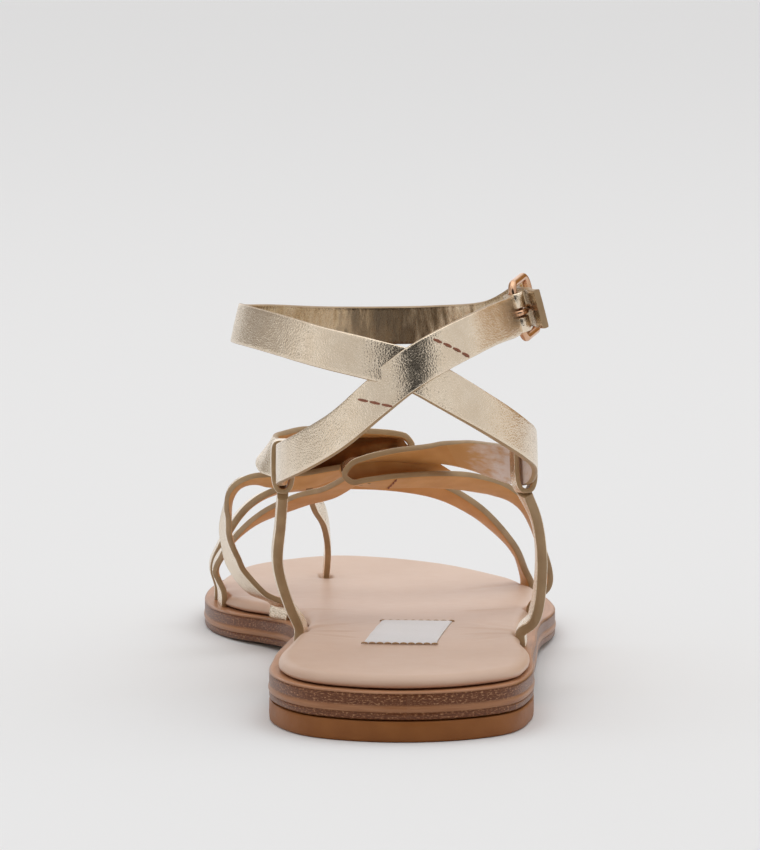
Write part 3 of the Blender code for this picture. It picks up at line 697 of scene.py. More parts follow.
def stack_side():
    """Dyed stacked edge: speckled dark layers with a smooth paler ridge between them."""
    made = Finish("stacked_edge", (0.16, 0.058, 0.021), 0.34, specular=0.28)
    strip = made.place.outputs["UV"]
    flecks = made.noise(1500, 3, strip, (0.75, 0.011, 1.0), 0.66)
    streaks = made.noise(260, 4, strip, (0.30, 0.04, 1.0), 0.6)
    dark = made.ramp(flecks, [(0.42, (0.115, 0.036, 0.012)), (0.55, (0.185, 0.062, 0.022)),
                              (0.66, (0.46, 0.24, 0.12))])
    pale = made.ramp(streaks, [(0.3, (0.30, 0.125, 0.054)), (0.7, (0.42, 0.20, 0.098))])
    # up the side, how much of the pale ridge shows
    ridge = [(0.0, 0.0), (0.24, 0.0), (0.31, 1.0), (0.47, 1.0), (0.56, 0.0), (0.93, 0.0), (0.96, 0.9)]
    middle = made.ramp(made.part_of(strip, "Y"), [(up, (share, share, share)) for up, share in ridge])
    made.set("Base Color", made.mix(middle, dark, pale))
    made.set("Roughness", made.range(flecks, 0.26, 0.44))
    made.bump(flecks, 0.00005, 0.7)
    made.bump(streaks, 0.00008, 0.5)
    return made.material


def welt_top():
    made = Finish("welt_leather", (0.31, 0.13, 0.062), 0.38, specular=0.25)
    streaks = made.noise(300, 3, made.place.outputs["UV"], (0.25, 2.0, 1.0))
    made.set("Base Color", made.ramp(streaks, [(0.3, (0.40, 0.18, 0.085)), (0.7, (0.52, 0.26, 0.13))]))
    made.bump(made.noise(800, 3), 0.00004, 0.6)
    return made.material


def satin():
    made = Finish("label_weave", (0.72, 0.71, 0.72), 0.38)
    weave = made.waves(900, 'X', made.place.outputs["UV"])
    made.set("Base Color", made.ramp(weave, [(0.0, (0.66, 0.65, 0.67)), (1.0, (0.78, 0.77, 0.78))]))
    made.bump(weave, 0.00003, 0.6)
    return made.material


def thread(name, colour):
    made = Finish(name, colour, 0.55)
    twist = made.waves(1600, 'DIAGONAL')
    made.set("Base Color", made.ramp(twist, [(0.0, tuple(c * 0.6 for c in colour)), (1.0, colour)]))
    made.bump(twist, 0.00006, 0.8)
    return made.material


# Straps

def resampled(rows):
    """Stations along the rows at an even spacing, and each station's place in rows and in metres."""
    samples = spline(rows, ROW_STEPS)
    lengths = along_line(samples[:, :3])
    spots = np.linspace(0.0, lengths[-1], max(8, int(round(lengths[-1] / FINE))) + 1)
    counted = np.interp(spots, lengths, np.arange(len(samples)) / ROW_STEPS)
    return read_at(spots, lengths, samples), counted, spots


def frames_of(stations):
    """Middles of the stations, and their directions along, across and out of the face."""
    middles, widths = stations[:, :3], stations[:, 3:]
    travels = np.gradient(middles, axis=0)
    travels /= np.linalg.norm(travels, axis=1)[:, None]
    widths = widths - travels * np.sum(widths * travels, axis=1)[:, None]
    widths /= np.linalg.norm(widths, axis=1)[:, None]
    return middles, travels, widths, np.cross(travels, widths)


def ribbon_section(width, thickness):
    """Points round a strap's section and each span's side: 0 faces +b, 1 the cut edge, 2 faces -b."""
    half, deep = width / 2, thickness / 2
    corner = CORNER_SHARE * thickness
    rounding = ((-0.3, deep - 0.3 * corner), (0.0, deep - corner), (0.25, 0.0), (0.0, corner - deep),
                (-0.3, 0.3 * corner - deep))
    points, sides = [], []
    for sign, side in ((1, 0), (-1, 2)):
        for index in range(ACROSS + 1):
            share = sign * (1 - 2 * index / ACROSS)
            points.append((share * (half - corner), sign * (deep + 0.04 * thickness * (1 - share * share))))
            sides.append(side)
        points += [(-sign * (half + out * corner), sign * up) for out, up in rounding]
        sides += [1, 1, 1, 1, 2 - side]
    return points, sides


def ribbon(name, rows, width, thickness, finish, seed, end_width=None):
    """A strap; finish(row, side) is the number of its material for side 1 (the face) or -1 (the back)."""
    stations, counted, spots = resampled(rows)
    middles, _, widths, normals = frames_of(stations)
    widening = (end_width or width) - width
    rings, uvs = [], []
    for index, spot in enumerate(spots):
        here = width + widening * index / (len(stations) - 1)
        here *= 1 + 0.012 * noise.noise(Vector((spot * 60, seed, 0.3)))
        section, sides = ribbon_section(here, thickness)
        ring = []
        for a, b in section:
            swell = abs(noise.noise(Vector((spot * 140, a * 300 + seed * 7, seed)))) * WRINKLE
            deep = b + (swell if b >= 0 else -swell)
            ring.append(middles[index] + widths[index] * a + normals[index] * deep)
            uvs.append((spot, a))
        rings.append(ring)
    points, faces, spans = sweep(rings)
    slots = []
    for number, span in enumerate(spans):
        if span < 0 or sides[span] == 1:
            slots.append(1)
        else:
            slots.append(finish(counted[number // len(sides)], 1 - sides[span]))
    return mesh_object(name, points, faces, [FOIL, EDGE, LINING, CREASED_FOIL_PAINTED_REFLECTION, PALE_LINING], slots, uvs)


def at_row(rows, row, across=0.0, lift=0.0):
    """A point on a strap by its place along the rows, with its travel, width and face directions."""
    samples = spline(rows, ROW_STEPS)
    places = np.arange(len(samples))
    middle, travel, width, normal = (
        read_at([row * ROW_STEPS], places, field)[0] for field in frames_of(samples))
    return middle + width * across + normal * lift, unit(travel), unit(width), unit(normal)


STITCH_RINGS, STITCH_SIDES = 9, 8


def capsule(start, end, radius, lift):
    """Rings of one stitch that arches from start to end."""
    start, end, lift = np.array(start), np.array(end), np.array(lift)
    side = unit(np.cross(unit(end - start), lift))
    up = np.cross(side, unit(end - start))
    rings = []
    for share in np.linspace(0, 1, STITCH_RINGS):
        middle = start + (end - start) * share + up * np.linalg.norm(lift) * math.sin(math.pi * share)
        size = radius * (0.45 + 0.55 * math.sin(math.pi * (0.12 + 0.76 * share)))
        rings.append(circle(middle, side, up, size, STITCH_SIDES))
    return rings


def stitches(name, runs, material):
    """One piece with many stitches; each run is (start, end, radius, lift vector)."""
    points, faces = [], []
    for run in runs:
        more, quads, _ = sweep(capsule(*run))
        faces += [tuple(len(points) + corner for corner in quad) for quad in quads]
        points += list(more)
    return mesh_object(name, points, faces, [material])


# Bottom

SPINE_ENDS = (0.13, 0.83)     # shares of the sole's length


def fine_outline():
    """The sole's outline at an even spacing, with the distance along it."""
    curve = sole_outline(FINE_STEPS)
    closed = np.vstack([curve, curve[:1]])
    lengths = along_line(closed)
    spots = np.linspace(0, lengths[-1], int(lengths[-1] / FINE) // 2 * 2, endpoint=False)
    return read_at(spots, lengths, closed), spots


def spine(points):
    """The line inside the outline that its inner rings close on."""
    table = [(along * SOLE_LENGTH - HEEL_SETBACK, (outer - inner) / 2 * HALF_BALL)
             for along, inner, outer in OUTLINE]
    ys, xs = zip(*table)
    low, high = (share * SOLE_LENGTH - HEEL_SETBACK for share in SPINE_ENDS)
    y = np.clip(points[:, 1], low, high)
    return np.column_stack([np.interp(y, ys, xs), y])


def segment_gap(points, start, end):
    """Distance of points from a segment, and the share along it, in plan."""
    start, end = np.array(start), np.array(end)
    way = end - start
    share = np.clip(((points - start) @ way) / (way @ way), 0, 1)
    return np.linalg.norm(points - start - share[:, None] * way, axis=1), share


def slot_places():
    """Middle, direction, length and breadth of each strap's slot, in plan."""
    found = [(*slot_at(name), width, thickness) for name, (_, _, width, thickness) in FEET.items()]
    return found + [(place(*THONG_FOOT, 0)[:2], np.array([0.0, 1.0]), THONG_WIDTH, THONG_THICKNESS)]


def insole_dip(points):
    """How far the insole's skin sinks at each place in plan, in metres: slots, pull lines and wear."""
    sink = np.zeros(len(points))
    for point, way, width, thickness in slot_places():
        ends = way * (width - thickness) / 2
        gap, _ = segment_gap(points, point - ends, point + ends)
        beyond = np.maximum(gap - thickness / 2, 0)
        for depth, reach in SLOT_DIPS:
            sink += depth * MM * np.exp(-(beyond / (reach * MM)) ** 2)
    for start, end, depth, breadth in PULLS:
        gap, share = segment_gap(points, np.array(start) * MM, np.array(end) * MM)
        fade = np.sin(np.pi * (0.12 + 0.80 * share)) ** 0.8
        gap /= breadth * MM
        sink += depth * MM * fade * (np.exp(-gap ** 2) - 0.45 * np.exp(-(gap - 2) ** 2))
    for middle, reach, depth in HOLLOWS:
        gap = np.linalg.norm((points - np.array(middle) * MM) / np.array(reach) / MM, axis=1)
        sink += depth * MM * np.exp(-gap ** 2)
    return sink


# depth and reach in millimetres of the two dips round each slot
SLOT_DIPS = [(1.9, 0.55), (0.35, 3.2)]
# start, end of each pull line in millimetres in plan, then its depth and breadth in millimetres
PULLS = [
    ((-21, 62), (-6, 74), 0.30, 1.3),
    ((-21, 55), (-8, 52), 0.26, 1.2),
    ((-20, 48), (-9, 38), 0.20, 1.2),
    ((-22, 68), (-10, 88), 0.20, 1.4),
    ((31, 52), (18, 60), 0.26, 1.2),
    ((31, 46), (17, 43), 0.22, 1.2),
    ((31, 41), (20, 31), 0.18, 1.2),
    ((32, 56), (22, 74), 0.16, 1.3),
    ((-22, 118), (-8, 112), 0.22, 1.4),
    ((38, 112), (22, 104), 0.20, 1.4),
    ((-33, 152), (-16, 146), 0.16, 1.5),
    ((42, 170), (26, 160), 0.16, 1.5),
]
# middle in millimetres in plan, reach across and along, and depth in millimetres
HOLLOWS = [
    ((2, 8), (20, 26), 0.30),
    ((4, 138), (26, 30), 0.35),
    ((-6, 192), (16, 13), 0.25),
]
# inset and drop of the rolled edge's rings in millimetres, from the underside up
PAD_ROLL = [(1.0, 3.0), (0.45, 2.85), (0.12, 2.5), (0.0, 2.05), (0.10, 1.6), (0.34, 1.15), (0.72, 0.72),
            (1.2, 0.38), (1.8, 0.14), (2.5, 0.02)]
PAD_TURNS = 38                # rings from the rolled edge to the spine


def rim_insets(outline):
    """How far the insole's edge lies inside the sole's, closer beside the heel."""
    along = share_along(outline[:, 1])
    beside = smoothstep(0.02, 0.09, along) * (1 - smoothstep(0.18, 0.28, along))
    shares = np.where(outline[:, 0] > 0, *RIM_AT_HEEL)
    return (RIM * (1 - beside * (1 - shares)))[:, None]


def insole():
    """The padded insole cover with its rolled edge, and the dips and pull lines at the straps."""
    outline, spots = fine_outline()
    rims = rim_insets(outline)
    levels = [(inset_outline(outline, rims + inset * MM), drop * MM) for inset, drop in PAD_ROLL]
    inner = levels[-1][0]
    for turn in range(1, PAD_TURNS + 1):
        share = (turn / PAD_TURNS) ** 0.9
        levels.append((inner * (1 - share) + spine(inner) * share, 0.0))
    rings, uvs = [], []
    for ring, drop in levels:
        dip = insole_dip(ring) * np.clip(1 - drop / (2.4 * MM), 0, 1)
        rings.append(np.column_stack([ring, pad_height(ring[:, 1]) - drop - dip]))
        uvs += [(s, drop) for s in spots]
    points, faces, _ = sweep(rings, caps=False)
    faces.append(tuple(range(len(outline))))
    obj = mesh_object("insole_cover", points, faces, [INSOLE], uvs=uvs)
    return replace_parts(obj, "insole")


# up: share of the sole's side from below; out: how far the side stands out, in millimetres
SIDE_RELIEF = [
    (0.000, -0.70), (0.012, -0.32), (0.05, -0.08), (0.12, 0.0), (0.19, 0.0), (0.235, -0.04), (0.262, -0.16),
    (0.285, 0.04), (0.33, 0.16), (0.39, 0.20), (0.45, 0.14), (0.50, 0.0), (0.535, -0.10), (0.57, -0.04),
    (0.62, 0.0), (0.75, 0.0), (0.86, 0.0), (0.90, -0.05), (0.925, -0.16), (0.95, 0.0), (0.985, -0.16),
    (1.0, -0.45),
]
# inset in millimetres and height, as a share of the side, of the rings on the sole's top
TOP_RINGS = [(1.1, 1.0), (2.2, 0.998), (3.2, 0.99), (4.4, 0.985), (7.0, 0.985)]


def stacked_sole():
    outline, spots = fine_outline()
    # each level is a ring, its height as a share of the side, and the material of what leads to it
    base = inset_outline(outline, 1.2 * MM)
    levels = [(spine(outline) * (1 - share) + base * share, 0.0, 2) for share in (0.06, 0.35, 0.7)]
    levels += [(inset_outline(outline, -out * MM), up, 0) for up, out in SIDE_RELIEF]
    levels += [(inset_outline(outline, inset * MM), up, 1) for inset, up in TOP_RINGS]
    inner = levels[-1][0]
    levels += [(inner * (1 - share) + spine(inner) * share, 0.985, 1) for share in (0.5, 0.95)]
    rings, uvs = [], []
    for ring, up, _ in levels:
        rings.append(np.column_stack([ring, sole_bottom(ring[:, 1]) + up * SOLE_SIDE]))
        uvs += [(s, up) for s in spots]
    points, faces, _ = sweep(rings)
    kinds = [level[2] for level in levels]
    slots = []
    for before, after in zip(kinds, kinds[1:]):
        slots += [after or (0 if before == 0 else 2)] * len(outline)
    obj = mesh_object("stacked_sole", points, faces, [STACK, WELT, OUTSOLE], slots + [2, 1], uvs)
    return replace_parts(obj, "sole")


# up: share of the heel's height; depth: how far its side lies inside the sole's, in millimetres
HEEL_RINGS = [(0.0, 0.75), (0.02, 0.45), (0.06, 0.18), (0.12, 0.05), (0.3, 0.0), (0.7, 0.0), (0.93, 0.03),
              (0.98, 0.14), (1.0, 0.4)]


def heel():
    outline, _ = fine_outline()
    front = HEEL_SHARE * SOLE_LENGTH - HEEL_SETBACK
    rings = []
    for up, depth in HEEL_RINGS:
        ring = inset_outline(outline, depth * MM)
        half = len(ring) // 2
        lateral = [p for p in ring[:half] if p[1] < front - 1.2 * MM]
        medial = [p for p in ring[half:] if p[1] < front - 1.2 * MM]
        right = edge_point(1, HEEL_SHARE, depth * MM)[0][0]
        left = edge_point(-1, HEEL_SHARE, depth * MM)[0][0]
        breast = []
        for share in np.linspace(0, 1, 40):
            corner = 0.9 * MM * (math.exp(-share * 60) + math.exp(-(1 - share) * 60))
            breast.append((right + (left - right) * share, front - depth * MM - corner))
        rings.append([(x, y, up * HEEL_LIFT) for x, y in lateral + breast + medial])
    points, faces, _ = sweep(rings)
    obj = mesh_object("heel_block", points, faces, [RUBBER])
    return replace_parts(obj, "heel_lift")


LABEL_PLACE = (0.11, 0.325)
LABEL_COLUMNS, LABEL_LINES = 24, 60
LABEL_STITCHES = 10           # at each end
LABEL_THREAD = 0.24 * MM
LABEL_OVERHANG = 0.9 * MM     # from the label's end to its row of stitches


def patch():
    """The blank satin label and its rows of stitches."""
    forward = np.array([math.sin(LABEL_TURN), math.cos(LABEL_TURN)])
    sideways = np.array([forward[1], -forward[0]])
    middle = place(*LABEL_PLACE, 0)[:2]
    columns, lines = LABEL_COLUMNS, LABEL_LINES
    across = np.arange(columns + 1) / columns - 0.5
    rings, uvs = [], []
    for b in np.arange(lines + 1) / lines - 0.5:
        ring = []
        for layer, a in [(1, a) for a in across] + [(0, a) for a in across[::-1]]:
            spot = middle + forward * b * LABEL_LENGTH + sideways * a * LABEL_WIDTH
            edge = max(abs(a), abs(b)) * 2
            thick = 0.42 * MM * (1 - smoothstep(0.975, 1.0, edge) * 0.5)
            thick += 0.05 * MM * math.sin(b * 19 + a * 4)
            z = pad_height(spot[1]) - insole_dip(spot[None, :])[0] * 0.5 + 0.06 * MM + layer * thick
            ring.append((*spot, z))
            uvs.append((b * LABEL_LENGTH, a * LABEL_WIDTH))
        rings.append(ring)
    points, faces, _ = sweep(rings, caps=False)
    size = len(ring)
    for first in (0, lines * size):
        last = first + size - 1
        faces += [(first + j, first + j + 1, last - 1 - j, last - j) for j in range(columns)]
    obj = mesh_object("label_patch", points, faces, [SATIN], uvs=uvs)
    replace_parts(obj, "label")
    runs = []
    for end in (-1, 1):
        start = middle + forward * end * (LABEL_LENGTH / 2 + LABEL_OVERHANG)
        for j in range(LABEL_STITCHES):
            spots = [start + sideways * (j - 5 + share) / 9.2 * LABEL_WIDTH for share in (0.06, 0.90)]
            ends = [(*spot, pad_height(spot[1]) + 0.14 * MM) for spot in spots]
            runs.append((*ends, LABEL_THREAD, (0, 0, 0.14 * MM)))
    stitches("label_stitches", runs, THREAD_TAN)


# Upper

def medial_finish(row, side):
    """Foil outside up to the fold and on the other face after it; creased foil with painted reflection bands
    round the ankle.
    """
    if side == (-1 if row < MEDIAL_FOLD_ROW + 1 else 1):
        return 0
    return 3 if row < MEDIAL_LOOP_ROW - 1 else 2


def lateral_finish(row, side):
    """The same the other way, with pale lining by the loop."""
    if side == (1 if row < LATERAL_FOLD_ROW + 3 else -1):
        return 0
    if row < LATERAL_LOOP_ROW - 0.6:
        return 2
    return 4 if row < LATERAL_LOOP_ROW + 5 else 3


def foil_below(row, side):
    return 0 if side < 0 else 2


def straps():
    """The ankle and instep bands, the forefoot strap, the vamp band and the toe thong."""
    first = ribbon("medial_band", medial_band(), STRAP_WIDTH, BAND_DEPTH, medial_finish, 1.3)
    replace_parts(first, "upper")
    second = ribbon("lateral_band", lateral_band(), STRAP_WIDTH, BAND_DEPTH, lateral_finish, 4.1)

    rows = foot_rows(*slot_at("forefoot")) + route(FOREFOOT_STRAP)
    piece = ribbon("forefoot_strap", rows, FOREFOOT_WIDTH, BAND_DEPTH, foil_below, 7.7)
    rows = foot_rows(*slot_at("medial_vamp")) + route(VAMP_STRAP)
    rows += foot_rows(*slot_at("lateral_vamp"))[::-1]
    vamp = ribbon("vamp_band", rows, VAMP_WIDTH, VAMP_THICKNESS, foil_below, 9.2)
    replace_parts(vamp, "vamp_strap")
    rows = route(THONG) + foot_rows(place(*THONG_FOOT, 0)[:2], (0.0, 1.0), 1)[::-1]
    thong = ribbon("toe_thong", rows, THONG_WIDTH, THONG_THICKNESS, lambda row, side: 0, 3.3)


def web(name, rows, first, last, other_first, other_last, material, bulge):
    """A soft sheet between two stretches of one strap that lie above one another."""
    rings = []
    for share in np.linspace(0, 1, 30):
        upper = at_row(rows, first + (last - first) * share)[0]
        lower = at_row(rows, other_first + (other_last - other_first) * share)[0]
        ring = []
        for fall in np.linspace(0, 1, 15):
            out = math.sin(math.pi * fall) * (1 - share * share) * bulge
            ring.append(upper * (1 - fall) + lower * fall + np.array([0.0, out, 0.0]))
        rings.append(ring + [point + np.array([0.0, 0.5 * MM, 0.0]) for point in reversed(ring)])
    points, faces, _ = sweep(rings)
    mesh_object(name, points, faces, [material])


# each row of thread's start and end, as a row of its band and millimetres across it, and its stitches
TACKS = [
    (6.31, 2.6, 5.75, -4.9, 3),
    (4.06, 3.5, 3.31, -4.5, 4),
]
SEAM = [(SEAM_ROW, 4.4, SEAM_ROW + 0.1, -4.4, 4)]


def tacks(name, rows, table, reach, lift, radius, height):
    """Rows of rust thread across a band; each stitch fills reach of its stretch."""
    runs = []
    for first, start, last, end, count in table:
        for index in range(count):
            ends = []
            for share in ((index + 0.08) / count, (index + reach) / count):
                across = (start + (end - start) * share) * MM
                row = first + (last - first) * share
                middle, _, _, normal = at_row(rows, row, across, -BAND_DEPTH / 2 - lift)
                ends.append(middle)
            runs.append((*ends, radius, -normal * height))
    stitches(name, runs, THREAD_RUST)


# reach and lift of a hole's rings, in its radii and in millimetres
HOLE_RINGS = [(0.02, -0.18), (0.75, -0.16), (0.9, 0.05), (1.15, 0.10), (1.4, 0.06), (1.5, -0.04)]
HOLE_SIDES = 20


def holes():
    """The punched hole on the fold and the two pinholes by the knot, as discs of painted shade with a rim.
    """
    spots = [
        (medial_band(), MEDIAL_FOLD_ROW - 0.15, -3.0, 0.8),
        (lateral_band(), 10.3, 0.5, 0.35),
        (lateral_band(), 9.95, 3.2, 0.35),
    ]
    for number, (rows, row, across, radius) in enumerate(spots):
        middle, travel, width, normal = at_row(rows, row, across * MM, -BAND_DEPTH / 2)
        rings = [circle(middle - normal * (lift + 0.05) * MM, travel, width, reach * radius * MM, HOLE_SIDES)
                 for reach, lift in HOLE_RINGS]
        points, faces, _ = sweep(rings, caps=False)
        slots = [0 if index // HOLE_SIDES < 2 else 1 for index in range(len(faces))]
        disc = mesh_object("punched_hole_%d" % number, points, faces, [HOLE_PAINTED_SHADE, EDGE], slots)


LOOP_SIDES = 96


def loop_ring(middle, travel, width, face, half_high, half_deep):
    """Rings of the loop, squarer above and narrowing to the tab below."""
    section, kinds = ribbon_section(TAB_TOP_WIDTH, LOOP_WALL)
    rings = []
    for index in range(LOOP_SIDES):
        angle = 2 * math.pi * index / LOOP_SIDES
        high, deep = math.sin(angle), math.cos(angle)
        power, reach = (5, half_high) if high > 0 else (2.8, half_high + SNUG_DROP)
        squareness = 1 / (abs(high) ** power + abs(deep) ** power) ** (1 / power)
        steep = abs(high) ** (power - 1) * math.copysign(1, high) / reach
        level = abs(deep) ** (power - 1) * math.copysign(1, deep) / half_deep
        outward = unit(width * steep + face * level)
        centre = middle + (width * high * reach + face * deep * half_deep) * squareness
        rings.append([centre + travel * a + outward * b for a, b in section])
    return rings, kinds


def side_tab(name, node, table, band_rows, loop_row):
    """A side strap with foil on both faces, whose top closes in a loop round the band."""
    middle, travel, width, face = (field[loop_row * 3] for field in frames_of(spline(band_rows, 3)))
    half_high = STRAP_WIDTH / 2 + SNUG_GAP + LOOP_WALL / 2
    half_deep = STRAP_THICKNESS / 2 + LOOP_GAP + LOOP_WALL / 2
    rings, kinds = loop_ring(middle, travel, width, face, half_high, half_deep)
    points, faces, spans = sweep(rings, closed=True)
    loop = mesh_object(name + "_loop", points, faces, [FOIL, EDGE, LINING], [kinds[s] for s in spans])
    top = middle - width * (half_high + SNUG_DROP + LOOP_WALL * 0.35)
    end = np.concatenate([top, travel * math.copysign(1, travel[1])])
    rows = foot_rows(*slot_at(node), 1) + route(table) + [end]
    seed = FEET[node][0] * 2.7
    tab = ribbon(name, rows, TAB_WIDTH, TAB_THICKNESS, lambda row, side: 0, seed, TAB_TOP_WIDTH)
    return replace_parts(tab, node)


def tube(path, radii, sides, closed, up):
    """Rings of a round wire along a path, with a radius for each point."""
    path = np.array(path)
    count = len(path)
    rings = []
    for index in range(count):
        before = path[index - 1] if closed or index else path[0]
        after = path[(index + 1) % count] if closed or index < count - 1 else path[-1]
        along = unit(after - before)
        side = unit(np.cross(along, up))
        rings.append(circle(path[index], side, np.cross(side, along), radii[index], sides))
    return rings


def wire(name, path, radii, sides, closed, up):
    points, faces, _ = sweep(tube(path, radii, sides, closed, up), closed=closed)
    return mesh_object(name, points, faces, [METAL])


BUCKLE_CORNER = 2.4 * MM


def buckle():
    """The wire frame, the prong with its eye, and the strap's end that wraps the rear bar."""
    _, travel, upward, face = buckle_axes()
    half_long = FRAME_LENGTH / 2
    half_high = STRAP_WIDTH / 2 + GAP + FRAME_CORNER
    straight = half_long - BUCKLE_CORNER
    path = []
    for forward, up, start in ((1, 1, 0), (-1, 1, 90), (-1, -1, 180), (1, -1, 270)):
        for step in range(13):
            angle = math.radians(start + 90 * step / 12)
            a = forward * straight + BUCKLE_CORNER * math.cos(angle)
            b = up * (half_high - BUCKLE_CORNER) + BUCKLE_CORNER * math.sin(angle)
            path.append(buckle_point(a, 0.0, b))
        if start in (0, 180):
            path += [buckle_point(forward * straight * (1 - step / 4), 0.0, up * half_high)
                     for step in range(1, 8)]
    frame = wire("buckle_ring", path, [WIRE_RADIUS] * len(path), 24, True, face)
    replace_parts(frame, "buckle_frame")

    start = buckle_point(-half_long + WIRE_RADIUS + GAP + PRONG_RADIUS, 0.0)
    end = buckle_point(half_long + WIRE_RADIUS, WIRE_RADIUS + GAP + PRONG_RADIUS)
    line = [start + (end - start) * t for t in np.linspace(-0.06, 1.0, 24)]
    sizes = [PRONG_RADIUS * (1 - 0.15 * t - 0.45 * smoothstep(0.9, 1.0, t)) for t in np.linspace(0, 1, 24)]
    prong = wire("buckle_pin", line, sizes, 18, False, face)
    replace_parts(prong, "buckle_prong")
    eye = circle(buckle_point(-half_long, 0.0), travel, face, WIRE_RADIUS + GAP + PRONG_RADIUS, 40)
    wire("buckle_pin_eye", eye, [PRONG_RADIUS] * 40, 16, True, upward)

    inner, outer = WIRE_RADIUS + GAP, WIRE_RADIUS + GAP + WRAP_WALL
    for side, low, high in (("upper", 0.24, 1.0), ("lower", -1.0, -0.24)):
        section = ((inner, low), (outer - 0.2 * MM, low), (outer, low + 0.04), (outer, high - 0.04),
                   (outer - 0.2 * MM, high), (inner, high))
        columns = [circle(buckle_point(-half_long, 0.0, up * STRAP_WIDTH / 2), travel, face, radius, 48)
                   for radius, up in section]
        points, faces, spans = sweep(list(zip(*columns)), closed=True)
        slots = [2 if s == 5 else 1 if s in (0, 4) else 0 for s in spans]
        wrap = mesh_object("buckle_wrap_" + side, points, faces, [FOIL, EDGE, LINING], slots)


# Stage

# azimuth from straight behind the heel (to the right) and elevation of each dark zone's middle,
# where it is darkest, where it ends, in degrees, and its colour
DARK_ZONES = [
    (-128, 16, 16, 38, (0.30, 0.28, 0.26)),
    (-60, 20, 10, 36, (0.55, 0.54, 0.53)),
    (78, 18, 14, 40, (0.62, 0.61, 0.60)),
    (140, 7, 12, 34, (0.34, 0.20, 0.07)),
    (4, 18, 23, 41, (0.01, 0.01, 0.01)),
]
ROOM = 1.10
FLOOR_REACH = 16.0


def aimed(obj, way):
    """Turns a camera or a lamp to look along a direction."""
    obj.rotation_mode = 'QUATERNION'
    obj.rotation_quaternion = Vector(way).to_track_quat('-Z', 'Y')


def studio():
    """A pale floor, an even white room with dark zones, and a soft lamp overhead."""
    floor = bpy.data.meshes.new("floor")
    corners = [(x * FLOOR_REACH, y * FLOOR_REACH, 0) for x, y in ((-1, -1), (1, -1), (1, 1), (-1, 1))]
    floor.from_pydata(corners, [], [(0, 1, 2, 3)])
    floor.materials.append(Finish("pale_floor", (0.838, 0.84, 0.846), 0.9, specular=0.0).material)
    linked("floor", floor)

    world = bpy.data.worlds.new("studio")
    bpy.context.scene.world = world
    world.use_nodes = True
    tree = world.node_tree
    background = tree.nodes["Background"]
    background.inputs["Strength"].default_value = ROOM
    sky = add_node(tree, "ShaderNodeTexCoord")
    shade = None
    for azimuth, elevation, reach, edge, tone in DARK_ZONES:
        turn, rise = math.radians(azimuth), math.radians(elevation)
        aim = (math.sin(turn) * math.cos(rise), -math.cos(turn) * math.cos(rise), math.sin(rise))
        dot = add_node(tree, "ShaderNodeVectorMath", operation='DOT_PRODUCT')
        dot.inputs[1].default_value = aim
        tree.links.new(sky.outputs["Generated"], dot.inputs[0])
        fade = add_node(tree, "ShaderNodeMapRange", interpolation_type='SMOOTHERSTEP',
                        From_Min=math.cos(math.radians(edge)), From_Max=math.cos(math.radians(reach)))
        tree.links.new(dot.outputs["Value"], fade.inputs["Value"])
        zone = add_node(tree, "ShaderNodeMix", data_type='RGBA')
        tree.links.new(fade.outputs["Result"], zone.inputs["Factor"])
        zone.inputs[6].default_value = (*WHITE, 1.0)
        zone.inputs[7].default_value = (*tone, 1.0)
        if shade is not None:
            tree.links.new(shade, zone.inputs[6])
        shade = zone.outputs[2]
    tree.links.new(shade, background.inputs["Color"])

    data = bpy.data.lights.new("overhead", 'AREA')
    data.shape = 'RECTANGLE'
    data.size, data.size_y = 1.8, 1.8
    data.energy = 6
    lamp = linked("overhead", data)
    lamp.location = (0.1, 0.3, 2.0)
    aimed(lamp, Vector((0.0, 0.08, 0.0)) - lamp.location)


CAMERA_TURN = math.radians(3.5)
CAMERA_PITCH = math.radians(6.424)
CAMERA_PLACE = (-0.0052, -1.631, 0.255)     # aside, along and up from the origin, in metres
CAMERA_LENS = 293.1


def camera():
    along = np.array([math.sin(CAMERA_TURN), math.cos(CAMERA_TURN), 0.0])
    aside = np.array([math.cos(CAMERA_TURN), -math.sin(CAMERA_TURN), 0.0])
    data = bpy.data.cameras.new("camera")
    data.sensor_width = 36.0
    data.lens = CAMERA_LENS
    data.clip_start, data.clip_end = 0.05, 40.0
    obj = linked("camera", data)
    right, ahead, height = CAMERA_PLACE
    obj.location = Vector(aside * right + along * ahead + np.array([0.0, 0.0, height]))
    aimed(obj, along * math.cos(CAMERA_PITCH) - np.array([0.0, 0.0, math.sin(CAMERA_PITCH)]))
    bpy.context.scene.camera = obj


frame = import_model()
OUTLINE_POINTS = sole_outline(OUTLINE_STEPS)

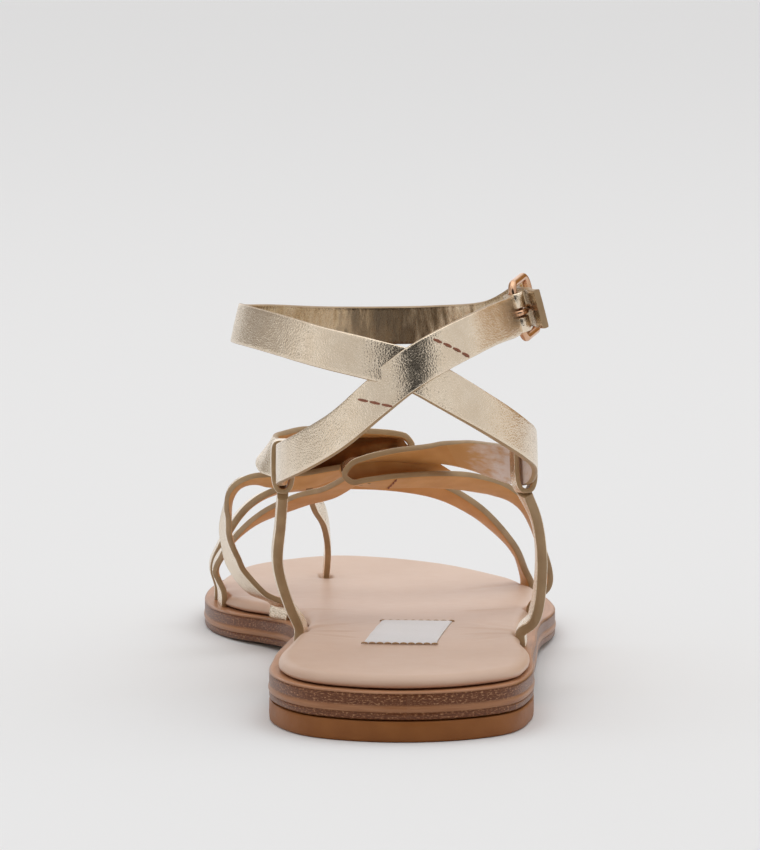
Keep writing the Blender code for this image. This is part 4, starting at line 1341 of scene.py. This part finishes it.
FOIL = surface("foil_leather_fine", (0.84, 0.71, 0.55), 0.25,
               (260, 4, (0.82, 0.685, 0.525), (0.88, 0.755, 0.60)), (700, 2, 0.19, 0.30),
               [(NOISE, 1700, 2, 0.00006, 1.0), (CELLS, 1500, 0.35, 0.00003, 1.0),
                (NOISE, 60, 2, 0.00030, 0.5)], metallic=0.97)
LINING = surface("lining_leather", (0.62, 0.31, 0.105), 0.36,
                 (170, 4, (0.58, 0.275, 0.085), (0.68, 0.355, 0.13)), (500, 2, 0.32, 0.48),
                 [(NOISE, 1300, 3, 0.00003, 0.7)], specular=0.32)
EDGE = surface("edge_paint", (0.38, 0.245, 0.125), 0.42,
               (220, 3, (0.34, 0.215, 0.105), (0.43, 0.285, 0.15)), None, [(NOISE, 900, 3, 0.00005, 0.8)])
INSOLE = surface("insole_grain", (0.64, 0.445, 0.335), 0.42,
                 (28, 3, (0.61, 0.415, 0.305), (0.68, 0.48, 0.365)), (300, 2, 0.36, 0.50),
                 [(CELLS, 1100, 1.0, 0.00005, 0.5), (NOISE, 60, 3, 0.00020, 0.35)])
OUTSOLE = surface("outsole_leather", (0.36, 0.20, 0.10), 0.55,
                  (90, 5, (0.30, 0.16, 0.08), (0.42, 0.25, 0.135)), None, [(NOISE, 1500, 3, 0.00005, 0.8)])
RUBBER = surface("heel_rubber_fine", (0.23, 0.082, 0.022), 0.40,
                 (140, 4, (0.25, 0.085, 0.019), (0.31, 0.112, 0.028)), (600, 2, 0.36, 0.52),
                 [(NOISE, 1400, 4, 0.00004, 0.8)], specular=0.22)
METAL = surface("buckle_rose_gold", (0.70, 0.42, 0.27), 0.14,
                (300, 3, (0.60, 0.34, 0.20), (0.76, 0.49, 0.33)), (900, 3, 0.12, 0.24), [], metallic=1.0)
# the holes' dark discs are painted shade
HOLE_PAINTED_SHADE = surface("slot_shadow", (0.045, 0.02, 0.010), 0.8, None, None, [(NOISE, 1500, 2, 0.00003, 0.4)])
STACK, WELT, SATIN = stack_side(), welt_top(), satin()
# the creased foil has painted reflection bands across the foot, and the shaded lining is a darkened copy of
# the lining as painted shade
CREASED_FOIL_PAINTED_REFLECTION, PALE_LINING, PAINTED_SHADE_LINING = creased_foil_with_painted_reflection(), pale_lining(), painted_shade_lining()
THREAD_TAN = thread("tan_thread", (0.60, 0.37, 0.19))
THREAD_RUST = thread("rust_thread", (0.36, 0.12, 0.06))

bpy.context.scene.view_settings.view_transform = 'Standard'
studio()
camera()
insole()
stacked_sole()
heel()
patch()
straps()
# a sheet inside the medial fold, in the darkened copy of the lining: painted shade inside the fold
web("fold_lining_painted_shade", medial_band(), 15.0, 19.6, 26.0, 21.4, PAINTED_SHADE_LINING, 3.0 * MM)
web("knot_lining", lateral_band(), 16.2, 12.4, 7.0, 11.0, LINING, 2.0 * MM)
tacks("strap_tacks", medial_band(), TACKS, 0.90, 0.02 * MM, 0.32 * MM, 0.36 * MM)
tacks("knot_seam", lateral_band(), SEAM, 0.84, 0.0, 0.24 * MM, 0.30 * MM)
holes()
side_tab("medial_side_tab", "medial_tab", MEDIAL_TAB, medial_band(), MEDIAL_LOOP_ROW + 1)
side_tab("lateral_side_tab", "lateral_tab", LATERAL_TAB, lateral_band(), LATERAL_LOOP_ROW + 3)
buckle()
